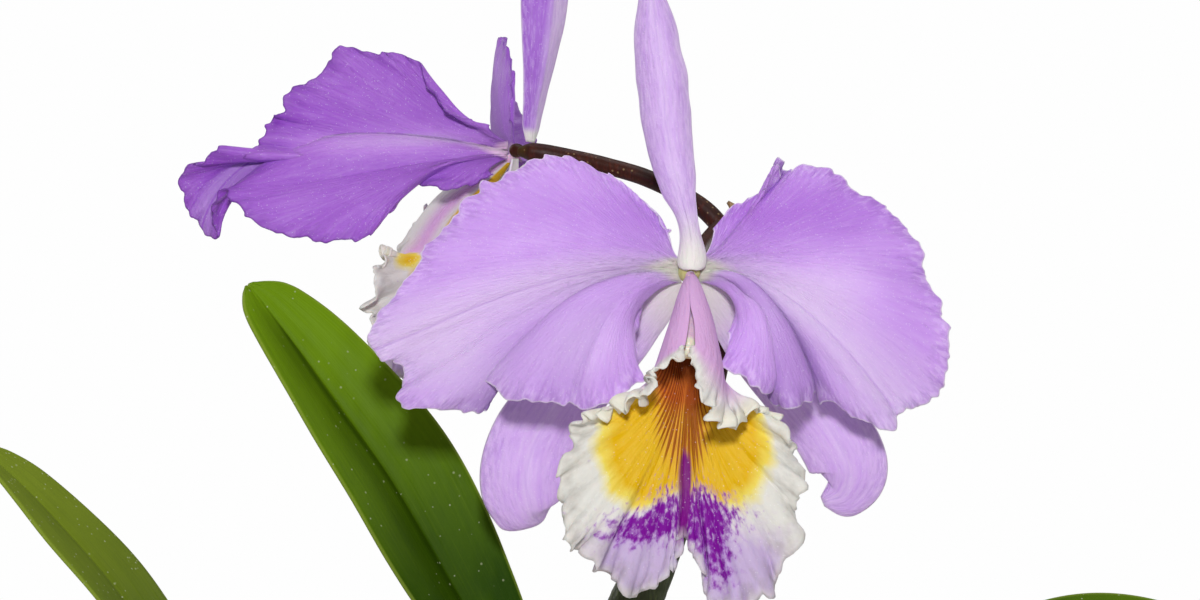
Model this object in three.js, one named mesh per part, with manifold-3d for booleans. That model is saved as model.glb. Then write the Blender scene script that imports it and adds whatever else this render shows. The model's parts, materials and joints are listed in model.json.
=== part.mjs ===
// A potted cattleya orchid in flower, in millimetres, +Z up.
// The origin is the centre of the pot's underside, and the open bloom looks along -Y.
// Pseudobulbs rise from a creeping rhizome in bark. The lead one carries a leaf, a sheath and a flower
// stem that forks to two blooms: the front one faces -Y, the back one looks away to the left.
import * as THREE from "three";
import { mergeVertices } from "three/addons/utils/BufferGeometryUtils.js";
import Module from "manifold-3d";

// ---- driving dimensions ---------------------------------------------------------------------------

const POT_HEIGHT = 110;
const POT_RIM_RADIUS = 68;
const POT_BASE_RADIUS = 47;
const POT_WALL = 6;
const POT_FLOOR = 9;
const COLLAR_HEIGHT = 24; // the thicker band below the rim
const COLLAR_STEP = 3;
const POT_SIDES = 32;
const DRAIN_HOLES = 4;
const DRAIN_HOLE_RADIUS = 5.5;
const DRAIN_HOLE_RING = 25;

const BARK_TOP = 97; // level of the bark that the chips lie on
const BARK_CHIPS = 16;
const CHIP_SIZE = [22, 14, 6];
const SEAT_GAP = 0.35; // clearance where pieces grow on, or stand in, each other

const PETAL_THICKNESS = 0.8;
const SEPAL_THICKNESS = 0.9;
const LIP_THICKNESS = 0.7;
const LEAF_THICKNESS = 2;

const FRONT_BLOOM = [27.5, -35, 394]; // where the parts of each bloom meet
const BACK_BLOOM = [-22, 25, 428];
const BACK_BLOOM_TURN = THREE.MathUtils.degToRad(-130);
const STEM_FORK = [38, 5, 405];

// ---- materials ------------------------------------------------------------------------------------

const finish = (color, roughness) => new THREE.MeshStandardMaterial({ color, roughness, metalness: 0 });
const LILAC_PETAL = finish(0xc79be8, 0.55);
const LILAC_SEPAL = finish(0xcfabea, 0.55);
const LIP_YELLOW = finish(0xe6cf7a, 0.5);
const COLUMN_PINK = finish(0xe3cfd6, 0.45);
const STEM_BROWN = finish(0x3d2a1a, 0.5);
const SHEATH_GREEN = finish(0x2f3512, 0.55);
const DRY_BRACT = finish(0x8a6a42, 0.8);
const LEAF_GREEN = finish(0x4f7a12, 0.4);
const BULB_GREEN = finish(0x6f8436, 0.5);
const RHIZOME_BROWN = finish(0x6b5a35, 0.8);
const ROOT_GREY = finish(0xc9c6b4, 0.85);
const BARK_BROWN = finish(0x5a3a24, 0.95);
const TERRACOTTA = finish(0xb0663f, 0.9);

// ---- curves and profiles --------------------------------------------------------------------------

const vec = (p) => new THREE.Vector3(...p);
const smooth = (points) => new THREE.CatmullRomCurve3(points.map(vec));
const { clamp, degToRad, seededRandom } = THREE.MathUtils;

// A size that runs smoothly through [share, value] pairs.
function profile(pairs) {
  const last = pairs.length - 1;
  const slope = (i) => {
    const [a, b] = [pairs[Math.max(i - 1, 0)], pairs[Math.min(i + 1, last)]];
    return (b[1] - a[1]) / (b[0] - a[0]);
  };
  return (t) => {
    const i = clamp(pairs.findIndex(([share]) => share >= t), 1, last);
    const [[t0, a], [t1, b]] = [pairs[i - 1], pairs[i]];
    const span = t1 - t0;
    const x = clamp((t - t0) / span, 0, 1);
    const rest = 1 - x;
    const ends = a * rest * rest * (1 + 2 * x) + b * x * x * (3 - 2 * x);
    return ends + span * x * rest * (slope(i - 1) * rest - slope(i) * x);
  };
}

// ---- closed bodies --------------------------------------------------------------------------------

function meshOf(points, index) {
  const geometry = new THREE.BufferGeometry();
  const positions = points.flatMap((p) => [p.x, p.y, p.z]);
  geometry.setAttribute("position", new THREE.Float32BufferAttribute(positions, 3));
  geometry.setIndex(index);
  return geometry;
}

// A thin closed blade over surface(u, v), u and v from 0 to 1. Both faces are split alike.
function blade(surface, columns, rows, thickness) {
  const step = 1e-3;
  const [front, back] = [[], []];
  for (let r = 0; r <= rows; r++) {
    for (let c = 0; c <= columns; c++) {
      const [u, v] = [c / columns, r / rows];
      const across = surface(Math.min(u + step, 1), v).sub(surface(Math.max(u - step, 0), v));
      const along = surface(u, Math.min(v + step, 1)).sub(surface(u, Math.max(v - step, 0)));
      const half = across.cross(along).setLength(thickness / 2);
      const middle = surface(u, v);
      front.push(middle.clone().add(half));
      back.push(middle.sub(half));
    }
  }
  const under = front.length;
  const at = (c, r) => r * (columns + 1) + c;
  const index = [];
  const quad = (a, b, c, d) => index.push(a, b, c, a, c, d);
  for (let r = 0; r < rows; r++) {
    for (let c = 0; c < columns; c++) {
      const [p, q, s, t] = [at(c, r), at(c + 1, r), at(c + 1, r + 1), at(c, r + 1)];
      quad(p, q, s, t);
      index.push(under + p, under + s, under + q, under + p, under + t, under + s);
    }
  }
  const rim = [];
  for (let c = 0; c < columns; c++) rim.push(at(c, 0));
  for (let r = 0; r < rows; r++) rim.push(at(columns, r));
  for (let c = columns; c > 0; c--) rim.push(at(c, rows));
  for (let r = rows; r > 0; r--) rim.push(at(0, r));
  rim.forEach((a, i) => {
    const b = rim[(i + 1) % rim.length];
    quad(b, a, under + a, under + b);
  });
  return meshOf([...front, ...back], index);
}

// A round stalk along a span of a path. shape(angle, t) scales its radius. Its ends are closed, or with a
// bore, the radius of a hollow that runs right through, they are rings.
function stalk(size, grow = 0) {
  const { path, span = [0, 1], radius, bore, sides = 10, steps = 12, shape = () => 1, up = [0, 1, 0] } = size;
  const line = smooth(path);
  const shareAt = (t) => span[0] + (span[1] - span[0]) * t;
  const wall = (reach) => {
    const points = [];
    for (let i = 0; i <= steps; i++) {
      const t = i / steps;
      const tangent = line.getTangent(shareAt(t));
      const side = tangent.clone().cross(vec(up)).normalize();
      const front = side.clone().cross(tangent);
      for (let k = 0; k < sides; k++) {
        const angle = (2 * Math.PI * k) / sides;
        const offset = side.clone().multiplyScalar(reach(angle, t) * Math.cos(angle));
        offset.addScaledVector(front, reach(angle, t) * Math.sin(angle));
        points.push(line.getPoint(shareAt(t)).add(offset));
      }
    }
    return points;
  };
  const points = wall((angle, t) => radius(t) * shape(angle, t) + grow);
  const inner = points.length;
  const top = steps * sides;
  if (bore) points.push(...wall(() => bore));
  else points.push(line.getPoint(span[0]), line.getPoint(span[1]));
  const index = [];
  const quad = (a, b, c, d) => index.push(a, b, c, a, c, d);
  for (let k = 0; k < sides; k++) {
    const next = (k + 1) % sides;
    for (let i = 0; i < top; i += sides) quad(i + k, i + next, i + next + sides, i + k + sides);
    if (!bore) {
      index.push(inner, next, k, inner + 1, top + k, top + next);
      continue;
    }
    for (let i = inner; i < inner + top; i += sides) quad(i + next, i + k, i + k + sides, i + next + sides);
    quad(next, k, inner + k, inner + next);
    quad(top + k, top + next, inner + top + next, inner + top + k);
  }
  return meshOf(points, index);
}

// ---- joining and cutting --------------------------------------------------------------------------

const wasm = await Module();
wasm.setup();

function toSolid(geometry) {
  const bare = geometry.clone();
  bare.deleteAttribute("normal");
  bare.deleteAttribute("uv");
  const merged = mergeVertices(bare, 1e-4);
  const vertProperties = new Float32Array(merged.attributes.position.array);
  const triVerts = new Uint32Array(merged.index.array);
  const build = () => new wasm.Manifold(new wasm.Mesh({ numProp: 3, vertProperties, triVerts }));
  const solid = build();
  if (solid.volume() > 0) return solid;
  triVerts.reverse(); // every piece faces out
  return build();
}

function toGeometry(solid) {
  const { numProp, vertProperties, triVerts } = solid.getMesh();
  const points = [];
  for (let i = 0; i < vertProperties.length; i += numProp) {
    points.push(vec(vertProperties.subarray(i, i + 3)));
  }
  return meshOf(points, [...triVerts]);
}

// What is left of a piece after cutting tools from it, without the crumbs a cut can leave.
function cut(geometry, ...tools) {
  const left = tools.reduce((solid, tool) => solid.subtract(toSolid(tool)), toSolid(geometry));
  return toGeometry(left.decompose().sort((a, b) => b.volume() - a.volume())[0]);
}

const plant = new THREE.Group();

function add(parent, name, geometry, material) {
  const mesh = new THREE.Mesh(toGeometry(toSolid(geometry)), material);
  mesh.name = name;
  parent.add(mesh);
}

// ---- petals, sepals and leaves --------------------------------------------------------------------

// A broad petal. Its veins leave the claw along the midrib and fan out to the margin, which runs from
// the claw's upper corner round the tip to its lower one. The margin's waves shorter than calm fade
// inwards, and bow bends the veins that run past the petal's lower hollow.
function fan({ margin, claw, midrib, billow, waves, bow }) {
  const edge = smooth(margin);
  const [upper, lower] = claw.map(vec);
  const lead = vec(midrib).normalize();
  const bend = vec(bow.by);
  const window = [-waves, -waves / 2, 0, waves / 2, waves];
  return (u, v) => {
    const tip = edge.getPoint(u);
    const calm = new THREE.Vector3();
    window.forEach((shift) => calm.addScaledVector(edge.getPoint(clamp(u + shift, 0, 1)), 1 / window.length));
    const root = upper.clone().lerp(lower, u);
    const out = calm.clone().sub(root);
    const reach = out.length();
    const swell = billow * Math.sin(Math.PI * u) * Math.min(1, reach / 40);
    const sweep = bow.share(u);
    const first = root.clone().addScaledVector(lead, 0.22 * reach).addScaledVector(out, 0.12);
    first.addScaledVector(bend, 0.7 * sweep).y -= 0.6 * swell;
    const second = calm.clone().addScaledVector(out, -0.3);
    second.addScaledVector(bend, sweep).y -= swell;
    const point = new THREE.CubicBezierCurve3(root, first, second, calm).getPoint(v);
    return point.addScaledVector(tip.sub(calm), v ** 4);
  };
}

// A long sepal or leaf: a spine with a width. Its section is either rolled back through a half angle
// in radians, or folded up along the midrib by some degrees. face turns from one direction to another.
function strap({ spine, face, width, roll = 0, fold = 0 }) {
  const path = smooth(spine);
  const [from, to] = face.map(vec);
  const rise = degToRad(fold);
  return (u, v) => {
    const tangent = path.getTangent(v);
    const side = tangent.clone().cross(from.clone().lerp(to, v)).normalize();
    const front = side.clone().cross(tangent);
    const across = 2 * u - 1;
    const half = width(v);
    const [out, lift] = roll
      ? [Math.sin(roll * across) / roll, (Math.cos(roll * across) - 1) / roll]
      : [across * Math.cos(rise), (Math.hypot(across, 0.2) - 0.2) * Math.sin(rise)];
    return path.getPoint(v).addScaledVector(side, half * out).addScaledVector(front, half * lift);
  };
}

const LEFT_PETAL = {
  claw: [[-3.1, 0, 1.4], [-3.1, 0.2, -4.3]],
  midrib: [-1, -0.12, 0.12],
  billow: 7,
  waves: 0.03,
  bow: { by: [-9, 0, 0], share: profile([[0, 0], [0.72, 0], [0.87, 1], [0.95, 0.3], [1, 0]]) },
  margin: [
    [-5.5, 2, 9], [-9.5, 5, 15], [-15, 7, 20], [-22, 8, 25.5], [-31, 8, 29], [-40, 7, 29.5],
    [-49, 5.5, 26.5], [-60, 4, 20], [-67, 3, 11], [-74, 2, 3], [-79, 1, -4.5], [-85, 1, -12],
    [-89, 2, -20.5], [-86.5, 4, -25], [-80.5, 5.5, -28.5], [-79, 6, -34], [-80, 5, -38],
    [-71, 3, -40], [-62, 4, -40.5], [-56, 7, -40], [-52.5, 8.5, -36], [-53, 4, -34],
    [-50, -2, -38], [-41, -5.5, -37.5], [-31.5, -7, -38.5], [-23, -7.5, -37.5], [-13, -5, -31],
    [-14.5, -1.5, -24], [-15.5, 1.5, -16], [-14, 3, -10], [-10, 2.5, -6.3],
  ],
};

const RIGHT_PETAL = {
  claw: [[3.1, 0, 1.4], [3.1, 0.2, -4.3]],
  midrib: [1, -0.12, 0.12],
  billow: 7,
  waves: 0.03,
  bow: { by: [9, 0, 0], share: profile([[0, 0], [0.72, 0], [0.87, 1], [0.95, 0.3], [1, 0]]) },
  margin: [
    [6.5, 2, 10], [12, 5, 16], [20, 6, 20], [24.5, 4, 22.5], [25.5, 7, 27], [31, 7, 27.5],
    [40, 6, 26], [45, 7, 22], [52.5, 5, 18], [59, 4, 12], [63.5, 2, 5.5], [64.5, 4, -2],
    [68, 1, -9.5], [71, 1, -20.5], [71, 3, -30.5], [67, 5, -37.5], [59, 4, -39.5], [54.5, 2, -45],
    [47.5, 1, -43], [40, 1, -39], [34.5, 4, -38], [32.5, 6.5, -35], [33, 2.5, -34],
    [31, -2, -37.5], [26, -4.5, -39], [21.5, -2.5, -37], [21, -0.5, -34.5], [21.5, -4, -33],
    [19.5, -7.5, -34.5], [14.5, -9.5, -31], [8.5, -8, -26], [11, -4.5, -19.5], [13.8, 0, -13],
    [13, 2.5, -8], [9.5, 2.5, -5.8],
  ],
};

const NEAR_PETAL = {
  claw: [[-2.2, -1.6, 3], [-2.4, -1.6, -2.4]],
  midrib: [-1, -0.1, 0.25],
  billow: -5,
  waves: 0.06,
  bow: { by: [-3, 0, 8], share: profile([[0, 0], [0.7, 0], [0.82, 1], [0.92, 0.3], [1, 0]]) },
  margin: [
    [-7.5, -3, 7.5], [-13, -3.5, 9], [-18, -4, 10.5], [-22.5, -3, 14.5], [-26.5, -1, 21.5],
    [-30.5, 2, 27.5], [-38.5, 4, 29], [-47, 5, 30.5], [-53, 5, 30], [-57, 5.5, 24.5], [-62, 3, 20.5],
    [-67, 4.5, 18.5], [-68, 2, 12], [-73.5, 4, 9.5], [-75, 1.5, 4.5], [-77, 3, 1.5], [-79.5, 0.5, -1],
    [-84, 2, -0.5], [-87.5, 0, 0.5], [-91, 2, -2.5], [-96, 4, -3.5], [-99, 6, -8], [-97, 8, -17],
    [-93.5, 8, -22], [-90, 6, -22.5], [-88.5, 2, -17.5], [-85, -2, -14], [-79, -5.5, -19],
    [-69.5, -7.5, -23.5], [-59.5, -8.5, -26.5], [-49.5, -8, -26.5], [-42.5, -6, -25],
    [-37.5, -2.5, -19], [-34.5, 1, -12.5], [-31, 2.5, -9], [-26.5, -0.5, -10], [-20, -3.5, -11.5],
    [-13, -4, -8.5], [-7.5, -2.6, -5.2],
  ],
};

const FAR_PETAL = { ...LEFT_PETAL, billow: 12 };

const FRONT_DORSAL = {
  spine: [
    [0.3, -2.8, -0.2], [0.4, -3.2, 3.5], [-0.2, -2, 10], [-2.3, 0.5, 18.5], [-4.7, 3.5, 28], [-6.3, 6, 39],
    [-7.2, 8, 51], [-8.8, 9.5, 62], [-10, 12, 73], [-11.5, 16, 83],
  ],
  face: [[0, -1, 0], [0, -1, 0.1]],
  width: profile([[0, 3.4], [0.06, 4], [0.2, 3.1], [0.5, 8.2], [0.8, 8], [1, 1]]),
  roll: 1.2,
};

const FRONT_LATERAL_LEFT = {
  spine: [
    [-3.1, 1.6, -4.2], [-7, 4.4, -7.8], [-13, 8.5, -14], [-21, 12, -22.5], [-30, 15, -31.5],
    [-38, 17.5, -41], [-43.5, 18.5, -51], [-45.5, 18.5, -61], [-44, 21, -69.5], [-42, 27, -73],
  ],
  face: [[0.1, -1, 0.1], [0.1, -1, -0.1]],
  width: profile([[0, 2.6], [0.15, 6], [0.5, 11.5], [0.75, 13.5], [0.92, 10], [1, 2]]),
  roll: 0.5,
};

const FRONT_LATERAL_RIGHT = {
  spine: [
    [3.1, 1.6, -4.2], [7, 4.4, -8], [12.5, 8.5, -15], [21, 12, -25], [31, 15, -36],
    [38.5, 17, -44.5], [43.5, 17.5, -52.5], [45.2, 18.5, -59], [43, 21, -64.5], [38, 23, -66.5],
  ],
  face: [[-0.1, -1, 0.1], [-0.1, -1, -0.1]],
  width: profile([[0, 2.6], [0.15, 6], [0.5, 10.8], [0.72, 11.6], [0.9, 7.5], [1, 1.5]]),
  roll: 0.5,
};

const BACK_DORSAL = {
  spine: [
    [4.8, -2.4, 2.5], [6.2, -2.2, 13.5], [8.3, -3, 25], [10, -4, 37], [11, -5, 48], [11.5, -7, 60],
    [10.5, -10, 71], [7, -14, 81],
  ],
  face: [[-0.6, 0.8, 0], [-0.5, 0.86, 0]],
  width: profile([[0, 1.9], [0.06, 3.5], [0.15, 4.3], [0.5, 9.5], [0.8, 8.8], [1, 1]]),
  fold: 32,
};

const BACK_LATERAL_NEAR = {
  spine: [
    [-0.4, -3.1, -2.3], [-2.4, -1.4, -12], [-2, 2.5, -28], [0.5, 6, -42], [3, 10, -55], [4, 17, -66],
    [3, 25, -71],
  ],
  face: [[-0.9, 0.3, 0], [-0.6, 0.6, -0.2]],
  width: profile([[0, 2.4], [0.15, 5], [0.6, 10.5], [0.85, 8.5], [1, 1.5]]),
  roll: 0.5,
};

const BACK_LATERAL_FAR = {
  spine: [
    [2, 2.4, -4.3], [7, 10.5, -12], [9.5, 21, -24], [10, 31, -38], [8.5, 38, -52], [9, 42, -63],
    [12, 45, -70],
  ],
  face: [[-0.5, 0.3, 0.6], [-0.8, 0.4, -0.1]],
  width: profile([[0, 2.4], [0.15, 5.5], [0.6, 10.5], [0.85, 8.5], [1, 1.5]]),
  roll: 0.5,
};

const LEAF_WIDTH = profile([[0, 0.22], [0.1, 0.36], [0.36, 0.8], [0.62, 1], [0.86, 0.76], [1, 0.14]]);
const leaf = (spine, face, half, fold) => ({ spine, face, fold, width: (t) => half * LEAF_WIDTH(t) });
const LEAVES = [
  leaf(
    [
      [-7.5, 5, 252], [-16, 7.5, 265], [-27, 9, 281], [-37.5, 9, 298], [-46.5, 9, 316],
      [-57, 9, 334.5], [-70.5, 9, 353], [-84, 9, 370], [-99, 9, 389],
    ],
    [[0.35, -0.9, 0.25], [0.35, -0.9, 0.25]],
    19.5,
    26,
  ),
  leaf(
    [
      [-76.5, 4, 208], [-86, 2, 222], [-98, 0, 241], [-111.5, 0, 264], [-124.5, 0, 285],
      [-137, 0, 303], [-150.5, 0, 318.5], [-163, 0, 331.5], [-175, 0, 342],
    ],
    [[0.7, -0.45, 0.55], [0.76, -0.25, 0.57]],
    17,
    12,
  ),
  leaf(
    [
      [62.5, 7.5, 209.5], [74, 6, 230], [87, 3, 249], [103, 0, 266], [122, -3, 278], [143, -5, 284],
      [165, -6, 282.5], [187, -6, 273], [206, -6, 257],
    ],
    [[-0.6, -0.5, 0.5], [0.3, -0.45, 0.85]],
    21,
    20,
  ),
  leaf(
    [
      [-29.5, 62, 199], [-32, 74, 218], [-37, 89, 237], [-43, 105, 250], [-52, 121, 255],
      [-63, 136, 251], [-74, 148, 240],
    ],
    [[0.2, -0.8, 0.5], [0.3, -0.3, 0.9]],
    20,
    20,
  ),
];

// ---- lip ------------------------------------------------------------------------------------------

// The lip's sides roll into a tube round the column, then open into a frilled and notched front lobe.
const TUBE_SHARE = 0.4; // share of each vein that lies in the tube
const TUBE_CLOSING = profile([[0, 0.98], [0.45, 0.98], [1, 0.95]]); // half turns that each side wraps
const TUBE_RADIUS = profile([[0, 2.9], [0.25, 4.5], [0.5, 6.2], [0.75, 8], [1, 9.8]]);
const FRILLS = 20;
const FRILL_HEIGHT = 2;
const FRILL_REACH = 1; // how far the frills also stand in and out along the lip

const FRONT_LIP = {
  tube: [[0, -2.6, -3], [0, -8, -9.3], [0, -13.2, -16.8], [-0.6, -18, -25.5], [-1, -22, -34]],
  // From the tube's seam down the left half to the notch, then up the right half to the seam.
  margin: [
    [-3, -31, -29.5], [-6, -32, -30.5], [-8.5, -31.5, -33], [-11.5, -28, -36.5], [-14.5, -25, -37],
    [-19, -24, -38], [-25, -21.5, -40.5], [-30.5, -20, -44], [-33.5, -19, -50], [-35.5, -19, -58],
    [-35, -20, -68], [-33.5, -21.5, -75.5], [-29, -22, -77.5], [-26, -20.5, -81], [-22.5, -18.5, -85],
    [-16, -17, -88.5], [-9, -16.5, -87], [-5, -18, -82], [-4.5, -20, -77.5], [-2.7, -21.5, -74],
    [0, -21.5, -76], [2.5, -20, -84], [5, -19, -91], [10, -18, -95], [17, -18, -92],
    [21.5, -19, -87.5], [25, -20, -81], [29, -20, -72], [28, -20.5, -65], [28.5, -20, -59],
    [28, -20, -50], [23.5, -21, -42.5], [18.5, -24, -40], [14, -28.5, -43], [10.5, -32, -43.5],
    [7.5, -33.5, -41], [4.5, -33.5, -36], [2.2, -32.5, -31.5], [0.5, -31, -29.5],
  ],
};

// The back bloom holds its tube higher, so the front lobe hangs further out.
const BACK_LIP = {
  tube: [[0, -2.6, -2.4], [0, -10.5, -7.2], [0, -18.5, -12.2], [-0.4, -26, -18], [-1, -32.5, -26]],
  margin: FRONT_LIP.margin.map(([x, y, z]) => [0.98 * x, 0.9 * (y + 22) - 34, 0.72 * (z + 34) - 26]),
};

function lip({ tube, margin }) {
  const core = smooth(tube);
  const edge = smooth(margin);
  const wall = (along, side) => {
    const floor = new THREE.Vector3(1, 0, 0).cross(core.getTangent(along)).normalize();
    const angle = Math.PI * TUBE_CLOSING(along) * (0.25 * side + 0.75 * side ** 3);
    const point = core.getPoint(along).addScaledVector(floor, TUBE_RADIUS(along) * Math.cos(angle));
    point.x += TUBE_RADIUS(along) * Math.sin(angle);
    return point;
  };
  return (u, v) => {
    const side = 2 * u - 1;
    if (v <= TUBE_SHARE) return wall(v / TUBE_SHARE, side);
    const t = (v - TUBE_SHARE) / (1 - TUBE_SHARE);
    const throat = wall(1, side);
    const tip = edge.getPoint(u);
    const out = tip.clone().sub(throat);
    const reach = out.length();
    const flow = throat.clone().sub(wall(0.95, side)).setLength(0.35 * reach);
    const first = throat.clone().add(flow);
    const second = tip.clone().addScaledVector(out, -0.28);
    second.y -= 0.14 * reach;
    const point = new THREE.CubicBezierCurve3(throat, first, second, tip).getPoint(t);
    const frill = t ** 3 * Math.min(1, reach / 18) * Math.min(1, (side / 0.18) ** 2);
    const phase = 2 * Math.PI * FRILLS * u;
    point.addScaledVector(out.normalize(), FRILL_REACH * frill * Math.cos(phase));
    point.y += FRILL_HEIGHT * frill * Math.sin(phase);
    return point;
  };
}

const COLUMN = {
  path: [[0, -0.4, -1.2], [0, -5.4, -6.1], [0, -11, -13.2], [-0.4, -16.4, -21], [-0.6, -20.5, -28.3]],
  radius: profile([[0, 1.8], [0.3, 2.1], [0.8, 3], [1, 2]]),
  sides: 8,
  steps: 7,
  up: [1, 0, 0],
};
const BACK_COLUMN = {
  ...COLUMN,
  path: [[0, -0.2, -1], [0, -7.5, -5], [0, -14.5, -9.2], [-0.2, -21.5, -13.8], [-0.4, -27, -19]],
};

// ---- blooms ---------------------------------------------------------------------------------------

const frontBloom = new THREE.Group();
frontBloom.position.set(...FRONT_BLOOM);
plant.add(frontBloom);
add(frontBloom, "front_petal_left", blade(fan(LEFT_PETAL), 36, 6, PETAL_THICKNESS), LILAC_PETAL);
add(frontBloom, "front_petal_right", blade(fan(RIGHT_PETAL), 40, 6, PETAL_THICKNESS), LILAC_PETAL);
add(frontBloom, "front_sepal_top", blade(strap(FRONT_DORSAL), 6, 12, SEPAL_THICKNESS), LILAC_SEPAL);
add(frontBloom, "front_sepal_left", blade(strap(FRONT_LATERAL_LEFT), 6, 12, SEPAL_THICKNESS), LILAC_SEPAL);
add(frontBloom, "front_sepal_right", blade(strap(FRONT_LATERAL_RIGHT), 6, 12, SEPAL_THICKNESS), LILAC_SEPAL);
add(frontBloom, "front_lip", blade(lip(FRONT_LIP), 60, 7, LIP_THICKNESS), LIP_YELLOW);
add(frontBloom, "front_column", stalk(COLUMN), COLUMN_PINK);

const backBloom = new THREE.Group();
backBloom.position.set(...BACK_BLOOM);
plant.add(backBloom);
const backHeart = new THREE.Group(); // the pieces that share the back bloom's own direction
backHeart.rotation.z = BACK_BLOOM_TURN;
backBloom.add(backHeart);
const farPetal = new THREE.Group();
farPetal.rotation.set(degToRad(20), degToRad(15), degToRad(-87), "ZYX");
farPetal.scale.setScalar(0.9);
backBloom.add(farPetal);
add(backBloom, "back_petal_near", blade(fan(NEAR_PETAL), 40, 6, PETAL_THICKNESS), LILAC_PETAL);
add(farPetal, "back_petal_far", blade(fan(FAR_PETAL), 24, 5, PETAL_THICKNESS), LILAC_PETAL);
add(backBloom, "back_sepal_top", blade(strap(BACK_DORSAL), 6, 10, SEPAL_THICKNESS), LILAC_SEPAL);
add(backBloom, "back_sepal_near", blade(strap(BACK_LATERAL_NEAR), 4, 9, SEPAL_THICKNESS), LILAC_SEPAL);
add(backBloom, "back_sepal_far", blade(strap(BACK_LATERAL_FAR), 4, 9, SEPAL_THICKNESS), LILAC_SEPAL);
add(backHeart, "back_lip", blade(lip(BACK_LIP), 60, 5, LIP_THICKNESS), LIP_YELLOW);
add(backHeart, "back_column", stalk(BACK_COLUMN), COLUMN_PINK);

// ---- stems ----------------------------------------------------------------------------------------

const PEDUNCLE = {
  path: [
    [-3.6, -0.5, 255.6], [3, -0.5, 275], [13.3, 0, 299], [24, 1.5, 325], [35, 3.5, 358],
    [39.5, 4.5, 384], [38, 5, 405],
  ],
  radius: profile([[0, 3.2], [0.8, 2.9], [1, 3]]),
  sides: 12,
};
const BACK_PEDICEL = {
  path: [
    STEM_FORK, [31.5, 8, 411.6], [17, 12.5, 419.4], [3, 17, 423.8], [-9, 20.4, 426.4], [-16.5, 21.7, 427.6],
    [-20.4, 22.2, 427.8],
  ],
  radius: profile([[0, 2.8], [0.5, 2.5], [0.85, 2.9], [1, 1.8]]),
  up: [0, 0, 1],
};
const FRONT_PEDICEL = {
  path: [
    STEM_FORK, [36.5, -3, 404.5], [33.5, -13, 401.5], [30, -23, 397.5], [28, -29, 394.8], [27.5, -33.8, 394],
  ],
  radius: profile([[0, 2.6], [0.5, 2.5], [0.85, 3.4], [1, 2.8]]),
  up: [0, 0, 1],
};
const SHEATH = {
  path: PEDUNCLE.path,
  span: [0, 0.52],
  radius: profile([[0, 5.4], [0.15, 5.8], [0.6, 7], [0.9, 6], [1, 5.2]]),
  bore: 3.6, // clears the peduncle all along
  sides: 12,
  steps: 7,
  shape: (angle) => 1 - 0.2 * Math.sin(angle) ** 2,
};
const BRACT = {
  spine: [[42.3, 2.6, 402.5], [43, 1, 406.5], [41.6, -0.6, 410], [39.2, -1.4, 412.4]],
  face: [[0.5, -0.8, 0], [0.5, -0.8, 0]],
  width: profile([[0, 2.6], [0.5, 2.2], [1, 0.5]]),
  roll: 0.7,
};

add(plant, "peduncle", stalk(PEDUNCLE), STEM_BROWN);
add(plant, "pedicel_back", cut(stalk(BACK_PEDICEL), stalk(PEDUNCLE, SEAT_GAP)), STEM_BROWN);
const frontPedicel = cut(stalk(FRONT_PEDICEL), stalk(PEDUNCLE, SEAT_GAP), stalk(BACK_PEDICEL, SEAT_GAP));
add(plant, "pedicel_front", frontPedicel, STEM_BROWN);
add(plant, "sheath", stalk(SHEATH), SHEATH_GREEN);
add(plant, "bract", blade(strap(BRACT), 4, 4, 0.6), DRY_BRACT);

// ---- pseudobulbs, rhizome and roots ---------------------------------------------------------------

const RHIZOME = {
  path: [
    [27, 27, 101.5], [14, 32, 103], [-8, 31, 103], [-26, 22, 103], [-34, 8, 103], [-20, -3, 103],
    [4, -7, 103], [24, -1, 103], [38, 6, 103], [47, 9, 101.5],
  ],
  radius: profile([[0, 2.5], [0.08, 4.3], [0.92, 4.3], [1, 2.5]]),
  steps: 18,
  sides: 8,
  up: [0, 0, 1],
};

const bulb = (path, girth) => ({
  path,
  radius: profile([[0, 4.6], [0.12, 5.6], [0.4, 0.8 * girth], [0.68, girth], [0.9, 0.66 * girth], [1, 4]]),
  sides: 12,
  steps: 8,
  shape: (angle, t) => 1 - 0.2 * Math.sin(angle) ** 2 + 0.07 * Math.sin(Math.PI * t) * Math.cos(6 * angle),
});
const BULBS = [
  bulb([[3, -6.5, 103], [2, -6.5, 130], [-1, -5, 175], [-4, -1.5, 222], [-5.5, 2.2, 254]], 12.5),
  bulb([[-34.5, 7, 103], [-40, 6, 126], [-52, 4.5, 158], [-67, 4, 190], [-77, 4, 209]], 11.5),
  bulb([[37, 5.5, 103], [41, 6, 128], [48, 7, 160], [57, 7.5, 190], [63, 7.5, 210.5]], 11.5),
  bulb([[-14, 29, 103], [-16, 35, 124], [-20, 45, 150], [-26, 56, 178], [-30, 62.5, 200]], 11),
  bulb([[13, 32, 103], [15, 36, 118], [19, 44, 136], [24, 51, 156], [27, 55, 172]], 11),
];

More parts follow.
